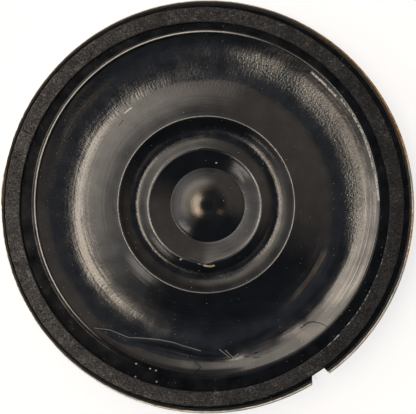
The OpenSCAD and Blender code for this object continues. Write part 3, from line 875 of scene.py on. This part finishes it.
# Contact adhesive, laid as a bead and cured: semi-gloss and lumpy, browner where it is thin.
RUBBER = Mottled("rubber_adhesive", "adhesive", ((0.35, "#2b2622"), (0.7, "#4a3c2c")), 0.38, LUMPS)
# Magnet adhesive: the same beads in a milky green.
RESIN = Mottled(
    "green_magnet_adhesive", "magnet_adhesive", ((0.35, "#5d6f66"), (0.7, "#8fa398")), 0.38, LUMPS)
# Kraft paper, rolled and varnished: long fibres run round the tube under a thin gloss.
PAPER = Mottled(
    "kraft_paper_former", "former_paper", ((0.35, "#a98552"), (0.65, "#cfb183")), 0.45,
    (((1.0, 1.0, 9.0), 1.5, 4.0, 1.0, 0.0, 0.01),))
# Copper under clear amber enamel: reddish metal with a glossy coat, a little uneven along the wire.
WIRE = Mottled("enamelled_copper_wire", "enamelled_copper", *ENAMEL)
WINDING = Wound("enamelled_copper_winding", "enamelled_copper", *ENAMEL)
# Phenolic paper laminate, punched: brown, faintly mottled by its paper, with a waxy gloss.
LAMINATE = Mottled(
    "phenolic_laminate", "laminate", ((0.35, "#6b4a20"), (0.52, "#8f6a34"), (0.7, "#a98245")), 0.42,
    ((EVEN, 2.4, 5.0, 0.6, 0.0, 0.008), ((0.4, 0.4, 14.0), 1.0, 2.0, 0.4, 0.0, 0.0)))
# Copper foil, rolled brass and tin solder: bare metals whose tone varies a little with tarnish.
COPPER = Mottled(
    "copper_foil", "copper_land", ((0.35, "#9c5a34"), (0.62, "#d08c5e")), 0.2,
    tarnish(0.006), 1.0)
BRASS = Mottled(
    "brass_eyelet", "brass_eyelet", ((0.35, "#8f6f36"), (0.62, "#c9a45c")), 0.13,
    tarnish(0.006), 1.0)
SOLDER = Mottled(
    "tin_solder", "solder", ((0.35, "#8f9193"), (0.62, "#cfd0d0")), 0.07,
    tarnish(0.012), 1.0)
# White legend ink, screen printed: matt and slightly worn through.
INK = Mottled(
    "white_legend_ink", "laminate", ((0.35, "#b9ad93"), (0.5, "#e6e0d0")), 0.7,
    ((EVEN, 7.0, 3.0, 1.0, 0.0, 0.0),))


def seat(obj: bpy.types.Object, finish: Finish, body: Body, *nodes: str) -> bpy.types.Object:
    """Dress a piece, let it ride and say what it stands for.

    Args:
        obj: the piece.
        finish: its finish.
        body: the body that it rides on.
        nodes: the frame's nodes that it replaces.

    Returns:
        The piece.
    """
    finish.dress(obj)
    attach(obj, body.value)
    if nodes:
        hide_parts(*nodes)
    LOG.info("%s: %d faces, %s", obj.name, len(obj.data.polygons), finish.name)
    return obj


@dataclass
class Basket:
    """The pressed frame: collar, floor with vents, wall, flange and lip."""

    radius: float = 20.0
    sheet: float = 0.3
    collar_r: float = 8.67
    collar_z: float = 1.05
    floor_mid_z: float = 1.65
    floor_r: float = 15.135
    flange_r: float = 17.1
    flange_mid_z: float = 4.15
    lip_z: float = 5.2
    bend: float = 0.35
    notch_depth: float = 0.7
    notch_width: float = 1.4
    notch_mouth: float = 1.7
    notch_span: Point = (-1.0, 7.0)
    flare_clockwise: float = 34.0
    flare_other: float = 9.0
    vent_places: int = 8
    vent_circle: float = 12.45
    vent_r: float = 1.58
    slot_x: float = 13.77
    slot_width: float = 0.9
    slot_half: float = 1.55
    rivet_x: float = 10.97
    rivet_hole: float = 0.55
    edge: float = 0.05
    step: float = 0.5
    turns: int = 288

    def notch(self) -> Mould:
        """Make the notch's cutting shape: flat bottomed, with one wall flared wide."""
        bottom, mouth, half = self.radius - self.notch_depth, self.notch_mouth, self.notch_width / 2
        mould = Mould()
        low, high = self.notch_span
        mould.box(Vector((bottom, -half, low)), Vector((bottom + mouth, half, high)))
        for vert in mould.bm.verts:
            if vert.co.x > bottom + mouth / 2:
                flare = self.flare_clockwise if vert.co.y < 0 else self.flare_other
                vert.co.y += math.copysign(mouth * math.tan(math.radians(flare)), vert.co.y)
        mould.turn(NOTCH_ANGLE)
        return mould

    def holes(self) -> Mould:
        """Make the cutting shape of the vents and the rivet's hole."""
        mould = Mould()
        for i in range(1, self.vent_places):
            place = polar(NOTCH_ANGLE + 360 * i / self.vent_places, self.vent_circle)
            mould.rod(place, self.vent_r, CUT, 64)
        mould.rod(polar(NOTCH_ANGLE, self.rivet_x), self.rivet_hole, CUT, 32)
        return mould

    def slot(self) -> Mould:
        """Make the cutting shape of the slot that the leads pass through."""
        half = Vector((self.slot_width / 2, self.slot_half + self.slot_width / 2, 0))
        middle = Vector((self.slot_x, 0, 0))
        mould = Mould()
        mould.box(middle - half, middle + half + Vector((0, 0, CUT)), self.slot_width / 2 - 0.01)
        mould.turn(NOTCH_ANGLE)
        return mould

    def worn_lip(self, place: Vector) -> Vector:
        """Give the trimmed lip its slight unevenness.

        Args:
            place: a point of the basket.

        Returns:
            The point's new place.
        """
        share = smooth(self.flange_mid_z + 0.3, self.lip_z, place.z)
        if share <= 0:
            return place
        uneven = noise.noise(place * 0.35) * 0.05 + noise.noise(place * 1.7) * 0.012
        place.z += share * (uneven - 0.03)
        return place

    def build(self) -> None:
        """Make the basket."""
        lip_r = self.radius - self.sheet / 2
        mould = Mould()
        mould.wire(
            [
                (self.collar_r, self.collar_z), (self.collar_r, self.floor_mid_z),
                (self.floor_r, self.floor_mid_z), (self.flange_r, self.flange_mid_z),
                (lip_r, self.flange_mid_z), (lip_r, self.lip_z)],
            [0, self.bend, 2 * self.bend, self.bend, self.bend, 0], self.step)
        mould.spin(self.turns)
        mould = thicken(mould, self.sheet)
        mould = carve(mould, [self.notch(), self.holes(), self.slot()])
        mould.soften(self.edge)
        mould.move(self.worn_lip)
        seat(mould.publish("basket"), TIN, Body.FRAME, "frame")


@dataclass
class Diaphragm:
    """The moulded film: dome, ridge, coil valley, two crests, wide valley and flat rim.

    A corner of its section is a radius, a height and a rounding; an offset is a radius and how far the
    ring there lies off centre; a wave is its scale, its place in the noise and its height. A pip in the
    ridge is its bearing, its reach in degrees and in mm, and how far it goes out and up; the bulge of the
    outer crest is its bearing, its reach in degrees and how far it goes out. A band or pair of ends is
    where a form begins and where it ends.
    """

    rim_z: float = 4.39
    thickness: float = 0.08
    sections: tuple = (
        (0.0, 0.30, 0.0), (1.45, 0.30, 8.5), (2.75, -0.045, 12.0), (3.30, -0.235, 0.4), (3.60, -0.36, 0.10),
        (5.48, 0.212, 0.6), (7.28, -0.345, 2.6), (8.55, 0.408, 0.14), (10.3, -0.17, 13.0),
        (13.6, -0.69, 10.6), (15.6, -0.37, 6.0), (16.62, -0.165, 0.05), (16.68, 0.03, 0.04),
        (16.75, 0.0, 0.03), (19.6, 0.0, 0.0))
    offsets: tuple = ((0.0, 0.03, 0.17), (3.8, 0.03, 0.17), (5.5, -0.26, 0.10), (7.1, -0.16, 0.22),
                      (8.55, -0.12, 0.22), (13.6, -0.12, -0.02), (16.8, -0.08, 0.34),
                      (17.9, 0.0, 0.0), (20.0, 0.0, 0.0))
    step: float = 0.2
    turns: int = 288
    coil_reach: float = 8.55
    rim_reach: float = 16.7
    waves: tuple = ((0.22, 3.1, 0.045), (0.6, 7.7, 0.010), (1.7, 1.3, 0.0022))
    pips: tuple = ((-89, 7.0, 0.7, 0.26, 0.03), (92, 6.0, 0.6, 0.05, 0.0))
    pip_r: float = 5.6
    bulge: tuple = (-35, 30.0, 0.22)
    bulge_band: tuple = ((15.2, 16.5), (17.0, 18.4))
    wavy_band: tuple = ((1.0, 3.0), (15.8, 17.0))
    crease: tuple = (*CREASE, (1.5, -14.1), (3.6, -14.2))
    crease_ends: tuple = ((-11.97, -9.47), (0.5, 5.0))
    crease_rim: Point = (16.15, 16.6)
    crease_reach: float = 1.1
    crease_depth: float = 0.14

    def crease_height(self, x: float, y: float) -> float:
        """Give the height of the dent along the lower left of the wide valley.

        Args:
            x: place to the right.
            y: place upwards.

        Returns:
            Height, in millimetres.
        """
        edge = self.crease[-1][1]
        for (x0, y0), (x1, y1) in zip(self.crease, self.crease[1:]):
            if x <= x1:
                edge = y0 + (y1 - y0) * max(0.0, (x - x0) / (x1 - x0))
                break
        return -self.crease_depth * band(*self.crease_ends, x) * smooth(0.0, self.crease_reach, edge - y)

    def handled(self, place: Vector) -> Vector:
        """Give the film its real unevenness: off-centre rings, waves, a dent, a bulge and two pips.

        Args:
            place: a point of the perfect film.

        Returns:
            Its real place.
        """
        radius = math.hypot(place.x, place.y)
        angle = math.degrees(math.atan2(place.y, place.x))
        shift = Vector((0, 0, 0))
        for (r0, x0, y0), (r1, x1, y1) in zip(self.offsets, self.offsets[1:]):
            if radius <= r1:
                share = smooth(r0, r1, radius)
                shift = Vector((x0 + (x1 - x0) * share, y0 + (y1 - y0) * share, 0))
                break
        x, y = place.xy
        wave = sum(noise.noise(Vector((x * s, y * s, seed))) * rise for s, seed, rise in self.waves)
        start, end = self.wavy_band
        place.z += wave * (1 - smooth(*end, radius)) * smooth(*start, radius)
        place.z += self.crease_height(x, y) * (1 - smooth(*self.crease_rim, radius))
        bearing, reach, push = self.bulge
        push *= math.exp(-((angle - bearing) / reach) ** 2)
        push *= band(*self.bulge_band, radius)
        way = Vector((place.x, place.y, 0)) / max(radius, 1e-6)
        for bearing, reach, width, out, up in self.pips:
            share = math.exp(-((angle - bearing) / reach) ** 2 - ((radius - self.pip_r) / width) ** 2)
            place.z += up * share
            push += out * share
        return place + shift + way * push

    def build(self) -> None:
        """Make the film, bending between the coil and the frame."""
        mould = Mould()
        mould.wire(
            [(r, self.rim_z + h) for r, h, _ in self.sections], [s[2] for s in self.sections], self.step)
        mould.spin(self.turns)
        if sum(f.normal.z for f in mould.bm.faces) < 0:
            bmesh.ops.reverse_faces(mould.bm, faces=mould.bm.faces[:])
        mould.move(self.handled)
        mould = thicken(mould, self.thickness)
        mould = carve(mould, [Basket().notch()])
        film = mould.publish("diaphragm_film", 60)
        FILM.dress(film)
        outer = Vector((self.rim_reach * MM, 0, 0))
        inner = Vector((self.coil_reach * MM, 0, 0))
        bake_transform(film, Body.FRAME.value, Body.COIL.value, outer, inner)
        weights = film.data.attributes["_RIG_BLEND"].data
        for vert, weight in zip(film.data.vertices, weights):
            radius = math.hypot(vert.co.x, vert.co.y) / MM
            weight.value = 1 - smooth(self.coil_reach, self.rim_reach, radius)
        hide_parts("diaphragm_surround", "diaphragm_dome")
        LOG.info("%s: %d faces", film.name, len(film.data.polygons))


@dataclass
class Washer:
    """What a flat ring has: its radii, its heights, its upper corners' rounding and its mesh's fineness."""

    bore: float
    radius: float
    low: float
    high: float
    corner: float
    step: float
    turns: int

    def blank(self) -> Mould:
        """Make the plain ring.

        Returns:
            The ring, for more shaping.
        """
        section = [(r, z) for z, radii in (
            (self.low, (self.bore, self.radius)), (self.high, (self.radius, self.bore))) for r in radii]
        mould = Mould()
        mould.wire(section, [0, 0, self.corner, self.corner], self.step, closed=True)
        mould.spin(self.turns)
        return mould


@dataclass
class Gasket(Washer):
    """The die-cut board ring and the loose fibres of its cut edges and face."""

    bore: float = 17.91
    radius: float = 19.32
    low: float = 4.48
    high: float = 5.48
    corner: float = 0.08
    step: float = 0.12
    turns: int = 480
    shift: float = -0.28
    fibres: int = 420
    fibre_r: float = 0.012

    def frayed(self, place: Vector) -> Vector:
        """Give the cut edges and the face their unevenness.

        Args:
            place: a point of the perfect ring.

        Returns:
            Its real place.
        """
        radius = math.hypot(place.x, place.y)
        middle = (self.bore + self.radius) / 2
        edge = smooth(0.45, 0.7, abs(radius - middle))
        way = Vector((place.x, place.y, 0)).normalized()
        ragged = noise.noise(place * 1.3) * 0.03 + noise.noise(place * 4.1) * 0.035
        place += way * ragged * edge - way * math.copysign(0.02, radius - middle) * edge
        top = smooth(self.high - 0.3, self.high, place.z)
        place.z += top * (noise.noise(place * 2.4) * 0.02 + noise.noise(place * 0.5) * 0.02 - 0.03)
        return place + Vector((self.shift, 0, 0))

    def fibre(self, draw: random.Random) -> list[Vector]:
        """Lay one loose fibre on the face or over an edge.

        Args:
            draw: source of random numbers.

        Returns:
            The fibre's points.
        """
        margin = 0.1
        radius = draw.uniform(self.bore + margin, self.radius - margin)
        angle = draw.uniform(0, 360)
        heading = draw.uniform(0, math.tau)
        length = draw.uniform(0.25, 0.9)
        curl = draw.uniform(-1.6, 1.6)
        steps = 4
        place = polar(angle, radius) + Vector((self.shift, 0, 0))
        points = []
        for i in range(steps + 1):
            flat = Vector((place.x - self.shift, place.y, 0))
            lip = smooth(self.radius - 0.15, self.radius + 0.05, flat.length)
            lip += smooth(self.bore + 0.12, self.bore - 0.08, flat.length)
            points.append(Vector((place.x, place.y, self.high - 0.035 - 0.08 * lip + 0.02 * draw.random())))
            place = place + Vector((math.cos(heading), math.sin(heading), 0)) * length / steps
            heading += curl / steps
        return points

    def build(self) -> None:
        """Make the ring and its fibres."""
        mould = self.blank()
        mould.move(self.frayed)
        seat(mould.publish("gasket_ring", 70), BOARD, Body.FRAME, "gasket")
        draw = random.Random(SEED)
        routes = [self.fibre(draw) for _ in range(self.fibres)]
        seat(tube("gasket_fibres", routes, self.fibre_r, 0), BOARD, Body.FRAME)


@dataclass
class Motor:
    """The yoke cup and the pieces in it."""

    yoke_r: float = 8.5
    yoke_bore: float = 7.6
    yoke_floor: float = 0.8
    height: float = 3.2
    edge: float = 0.4
    corner: float = 0.12
    step: float = 0.8
    turns: int = 192

    def build(self) -> None:
        """Make the yoke and dress the pieces in it and round the coil."""
        mould = Mould()
        mould.wire(
            [
                (0, 0), (self.yoke_r, 0), (self.yoke_r, self.height), (self.yoke_bore, self.height),
                (self.yoke_bore, self.yoke_floor), (0, self.yoke_floor)],
            [0, self.edge, self.corner, self.corner, self.edge / 2, 0], self.step)
        mould.spin(self.turns)
        seat(mould.publish("yoke_cup"), ZINC, Body.FRAME, "yoke")
        for node, finish in (
                ("magnet", NICKEL), ("top_plate", ZINC), ("magnet_glue", RESIN), ("plate_glue", RESIN),
                ("yoke_glue_ring", RUBBER), ("film_adhesive", RUBBER), ("gasket_adhesive", RUBBER),
                ("coil_former", PAPER), ("voice_coil", WINDING), ("coil_glue", RUBBER)):
            finish.dress(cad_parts[node])


@dataclass
class VentScreen(Washer):
    """The damping cloth that is glued over the vents, cut open at the board."""

    bore: float = 10.47
    radius: float = 14.435
    low: float = 1.805
    high: float = 1.895
    corner: float = 0.0
    step: float = 0.4
    turns: int = 144
    opening: float = 8.0
    flat: Point = (28.87, 28.31)
    area: float = 278.0

    def build(self) -> None:
        """Make the cloth."""
        cutter = Mould()
        cutter.box(Vector((0, -self.opening / 2, 0)), Vector((Basket.radius, self.opening / 2, CUT)))
        cutter.turn(NOTCH_ANGLE)
        mould = carve(self.blank(), [cutter])
        cloth = seat(mould.publish("damping_cloth"), CLOTH, Body.FRAME, "vent_cloth")
        tuple(side * MM for side in self.flat)


@dataclass
class TerminalStrip:
    """The board with its lands, marks, solder, eyelet and leads, in line with the notch."""

    board_low: Vector = field(default_factory=lambda: Vector((9.17, -4.0, 0.9)))
    board_high: Vector = field(default_factory=lambda: Vector((13.77, 4.0, 1.5)))
    corner: float = 0.5
    edge: float = 0.03
    lead_notch: float = 0.3
    lead_y: float = 1.4
    lead_r: float = 0.07
    lead_gap: float = 0.02
    coil_r: float = 7.22
    film_gap: float = 1.1
    film_low: float = 2.5
    floor_front: float = 1.8
    land_low: tuple = (9.82, 1.25, 0.865)
    land_high: tuple = (12.62, 3.55, 0.9)
    solder_place: Point = (11.82, 2.4)
    solder_r: float = 0.8
    solder_h: float = 0.4
    solder_step: float = 0.08
    rivet_x: float = 10.97
    rivet_bore: float = 0.3
    rivet_r: float = 0.5
    rivet_head: float = 0.9
    rivet_low: float = 0.7
    rivet_high: float = 2.0
    rivet_edge: float = 0.07
    rivet_play: float = 0.05
    rivet_step: float = 0.15
    sign_x: float = 13.12
    sign_y: float = 3.72
    sign_length: float = 0.36
    sign_width: float = 0.13
    ink: float = 0.012
    turns: int = 64

    @staticmethod
    def fix(mould: Mould, name: str, finish: Finish, *nodes: str, crease: float = 40) -> None:
        """Turn a piece of the strip in line with the notch and seat it."""
        mould.turn(NOTCH_ANGLE)
        seat(mould.publish(name, crease), finish, Body.FRAME, *nodes)

    def board(self) -> None:
        """Make the laminate board with its lead notches and the eyelet's hole."""
        mould = Mould()
        mould.box(self.board_low, self.board_high, self.corner)
        cutter = Mould()
        for y in (-self.lead_y, self.lead_y):
            cutter.rod(Vector((self.board_high.x, y, 0)), self.lead_notch, CUT, 32)
        cutter.rod(Vector((self.rivet_x, 0, 0)), self.rivet_r + self.rivet_play, CUT, 32)
        mould = carve(mould, [cutter])
        mould.soften(self.edge)
        self.fix(mould, "terminal_strip", LAMINATE, "terminal_board")

    def land(self, side: Terminal) -> None:
        """Make one copper land.

        Args:
            side: the terminal.
        """
        low, high = Vector(self.land_low), Vector(self.land_high)
        if side is Terminal.NEGATIVE:
            low.y, high.y = -high.y, -low.y
        mould = Mould()
        mould.box(low, high, self.corner)
        name = side.name.lower()
        self.fix(mould, "copper_land_" + name, COPPER, "solder_pad_" + name)

    def solder(self, side: Terminal) -> None:
        """Make one solder joint: a dome that wets out to a thin foot.

        Args:
            side: the terminal.
        """
        base = self.land_low[2]
        mould = Mould()
        mould.wire(
            [
                (0, base - self.solder_h), (self.solder_r * 0.4, base - self.solder_h),
                (self.solder_r * 0.75, base - self.solder_h * 0.3), (self.solder_r, base - 0.01),
                (self.solder_r, base)],
            [0, 0.3, 0.4, 0, 0], self.solder_step)
        mould.spin(self.turns)
        centre = Vector((self.solder_place[0], side.value * self.solder_place[1], 0))

        def lumpy(place: Vector) -> Vector:
            """Give the dome a hand-made unevenness and set it on its land."""
            high = smooth(0, self.solder_h, base - place.z)
            swell = abs(noise.noise(place * 1.6 + centre) * 0.10)
            way = Vector((place.x, place.y, 0))
            return place - way * (0.06 + swell) * high + Vector((0, 0, swell * high * 0.4)) + centre

        mould.move(lumpy)
        name = side.name.lower()
        self.fix(mould, "solder_dome_" + name, SOLDER, "solder_joint_" + name, crease=60)

    def mark(self, side: Terminal) -> None:
        """Print the plain sign of one terminal on the board.

        Args:
            side: the terminal.
        """
        centre = Vector((self.sign_x, side.value * self.sign_y, self.board_low.z - self.ink))
        mould = Mould()
        arms = [Vector((self.sign_width / 2, self.sign_length / 2, 0))]
        if side is Terminal.POSITIVE:
            arms.append(Vector((self.sign_length / 2, self.sign_width / 2, 0)))
        for arm in arms:
            mould.box(centre - arm, centre + arm + Vector((0, 0, self.ink)))
        self.fix(mould, "sign_" + side.name.lower(), INK)

    def eyelet(self) -> None:
        """Make the brass eyelet with its two rolled heads."""
        edge = self.rivet_edge
        mould = Mould()
        mould.wire(
            [
                (self.rivet_bore, self.rivet_low), (self.rivet_head, self.rivet_low),
                (self.rivet_head, self.board_low.z), (self.rivet_r, self.board_low.z),
                (self.rivet_r, self.floor_front), (self.rivet_head, self.floor_front),
                (self.rivet_head, self.rivet_high), (self.rivet_bore, self.rivet_high)],
            [edge * 1.6, edge, edge / 2, 0, 0, edge / 2, edge, edge * 1.6], self.rivet_step, closed=True)
        mould.spin(self.turns)
        mould.move(lambda place: place + Vector((self.rivet_x, 0, 0)))
        self.fix(mould, "eyelet", BRASS, "board_rivet")

    def lead(self, side: Terminal) -> None:
        """Lay one lead from the coil under the film, through the slot and back to its solder.

        Args:
            side: the terminal.
        """
        r, aside, yoke_r = self.lead_r, self.lead_y, Motor.yoke_r
        over_yoke = Motor.height + r + self.film_gap / 8
        down_x = self.board_high.x - self.lead_notch + r + self.lead_gap
        reach = down_x - yoke_r
        land_z = self.land_low[2]
        end_z = land_z - r - self.lead_gap - self.solder_h / 6
        x, y = self.solder_place
        half = [
            (self.coil_r, aside, over_yoke), (yoke_r, aside, over_yoke + r),
            (yoke_r + reach / 3, aside, over_yoke - r), (yoke_r + reach * 2 / 3, aside, over_yoke - 4 * r),
            (down_x - 6 * r, aside, self.film_low + 5 * r), (down_x, aside, self.floor_front + 2 * r),
            (down_x, aside, self.board_high.z), (down_x, aside, self.board_low.z + 2 * r),
            (down_x - r, (aside * 3 + y) / 4, land_z - 2 * r), (x + 0.8, y - r, end_z),
            (x + 0.4, y, end_z), (x + 0.05, y, end_z)]
        turn = Matrix.Rotation(math.radians(NOTCH_ANGLE), 4, "Z")
        route = [turn @ Vector((px, side.value * py, pz)) for px, py, pz in half]
        name = side.name.lower()
        wire = tube("lead_" + name, [route], r, 4)
        WIRE.dress(wire)
        start = route[4] * MM
        end = route[1] * MM
        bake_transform(wire, Body.FRAME.value, Body.COIL.value, start, end)
        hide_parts("lead_wire_" + name)

    def build(self) -> None:
        """Make every piece of the strip."""
        self.board()
        self.eyelet()
        for side in Terminal:
            self.land(side)
            self.solder(side)
            self.mark(side)
            self.lead(side)


@dataclass(frozen=True)
class Lobe:
    """A soft patch of light in the sky.

    It has a colour and a strength, and in degrees: the angles off the zenith where it begins and ends,
    its bearing, half its width and how soft its sides are.
    """

    colour: str
    strength: float
    start: Point
    end: Point
    bearing: float
    half_width: float
    soft: float


@dataclass
class Studio:
    """Sky, floor and camera; the photo's sizes are in pixels, the other lengths in mm."""

    lens: float = 300.0
    sensor: float = 36.0
    photo_size: Point = (416, 414)
    photo_centre: Point = (207.52, 206.79)
    photo_radius: float = 206.65
    floor_r: float = 1000.0
    floor_gap: float = 0.02
    ambient: tuple = ("#c8d8f0", 0.1)
    horizon: Point = (84.0, 92.0)
    lobes: tuple = (
        Lobe("#eef2fa", 1.0, (66, 80), (95, 110), 170, 70, 20),
        Lobe("#eef2fa", 0.25, (66, 80), (95, 110), 0, 180, 0.1),
        Lobe("#d4e0f4", 0.22, (1.5, 5), (8, 24), 0, 180, 0.1),
        Lobe("#ffefdb", 9.5, (6.8, 9.6), (12, 19.5), 180, 46, 20),
        Lobe("#fff0e0", 2.0, (12, 19), (22, 42), 142, 46, 30),
        Lobe("#f6efe6", 0.95, (10, 22), (40, 85), 165, 56, 28),
        Lobe("#f5e0cc", 0.56, (13, 19), (30, 85), 40, 40, 40),
        Lobe("#fff4e6", 2.8, (34.5, 38.5), (41, 43), 224, 10, 5),
        Lobe("#ffcf80", 3.5, (9, 10.5), (13, 15), 206, 7, 5),
        Lobe("#ffe0b8", 2.0, (11.5, 13), (14.5, 16), 330, 8, 6))

    def camera(self) -> None:
        """Look straight down so that the rim fills the photo's circle."""
        width, height = self.photo_size
        scale = Basket.radius / self.photo_radius
        distance = width * scale / self.sensor * self.lens
        x = (width / 2 - self.photo_centre[0]) * scale
        y = (self.photo_centre[1] - height / 2) * scale
        data = bpy.data.cameras.new("camera")
        data.lens = self.lens
        data.sensor_width = self.sensor
        camera = bpy.data.objects.new("camera", data)
        camera.location = (x * MM, y * MM, (Basket.lip_z + distance) * MM)
        bpy.context.scene.collection.objects.link(camera)
        bpy.context.scene.camera = camera

    def sky(self) -> None:
        """Paint the studio's soft boxes on the sky, white near the horizon for camera and gloss."""
        world = bpy.data.worlds.new("studio")
        bpy.context.scene.world = world
        sheet = Sheet(world)
        add = sheet.add
        way = add("VectorMath", add("TexCoord"), operation="NORMALIZE")
        up = add("SeparateXYZ", way).node.outputs["Z"]
        zenith = add("Math", up, operation="ARCCOSINE")
        off, wide = (add("Math", zenith, operation=kind) for kind in ("DEGREES", "SINE"))
        wide = add("Math", wide, 0.001, operation="MAXIMUM")
        shade, level = self.ambient
        total = add("VectorMath", linear(shade)[:3], Scale=level, operation="SCALE")
        for lobe in self.lobes:
            toward = add("VectorMath", way, polar(lobe.bearing, 1), operation="DOT_PRODUCT")
            turn = add("Math", toward, wide, operation="DIVIDE")
            edge = math.cos(math.radians(min(180, lobe.half_width + lobe.soft)))
            core = math.cos(math.radians(max(0, lobe.half_width - lobe.soft)))
            part = add("MapRange", turn, edge, core, interpolation_type=SOFT)
            part = add("Math", part, sheet.ring(off, lobe.start, lobe.end), operation="MULTIPLY")
            glow = Vector(linear(lobe.colour)[:3]) * lobe.strength
            glow = add("VectorMath", glow, Scale=part, operation="SCALE")
            total = add("VectorMath", total, glow, operation="ADD")
        low_sky = add("MapRange", off, *self.horizon, interpolation_type=SOFT)
        white = self.seen(sheet, low_sky)
        colour = add("Mix", Factor=white, A=total, B=linear("#ffffff"), data_type="RGBA")
        add("OutputWorld", add("Background", colour, 1.0))

    @staticmethod
    def seen(sheet: Sheet, gloss: Socket | float) -> Socket:
        """Tell camera, transmission and glossy rays, which see white, from those that light.

        Args:
            sheet: the nodes of the sky or floor.
            gloss: how much the glossy rays count.

        Returns:
            The share of white.
        """
        ray = sheet.add("LightPath").node.outputs
        shiny = sheet.add("Math", ray["Is Glossy Ray"], gloss, operation="MULTIPLY")
        return reduce(
            lambda a, b: sheet.add("Math", a, b, operation="MAXIMUM"),
            (ray["Is Camera Ray"], shiny, ray["Is Transmission Ray"]))

    def floor(self) -> None:
        """Lay a pale floor that keeps the shadow and lets a camera below look through."""
        material = bpy.data.materials.new("pale_floor")
        sheet = Sheet(material)
        add = sheet.add
        glow = add("Emission", linear("#ffffff"), self.seen(sheet, 1.0))
        paint = add("BsdfDiffuse", linear("#f2f2f2"))
        top = add("MixShader", 0.45, paint, glow)
        weak = add("MixShader", 0.25, top, add("AddShader", top, glow))
        below = add("NewGeometry").node.outputs["Backfacing"]
        add("OutputMaterial", add("MixShader", below, weak, add("BsdfTransparent")))
        mould = Mould()
        bmesh.ops.create_circle(
            mould.bm, cap_ends=True, segments=64, radius=self.floor_r,
            matrix=Matrix.Translation((0, 0, -self.floor_gap)))
        floor = mould.publish("floor")
        floor.data.materials.append(material)

    def build(self) -> None:
        """Make the studio."""
        self.camera()
        self.sky()
        self.floor()


def main() -> None:
    """Build the speaker and the studio."""
    logging.basicConfig(level=logging.INFO, format="%(message)s")
    bpy.context.scene.view_settings.view_transform = "Standard"
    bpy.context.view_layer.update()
    Studio().build()
    Basket().build()
    Motor().build()
    VentScreen().build()
    Diaphragm().build()
    Gasket().build()
    TerminalStrip().build()


if __name__ == "__main__":
    main()
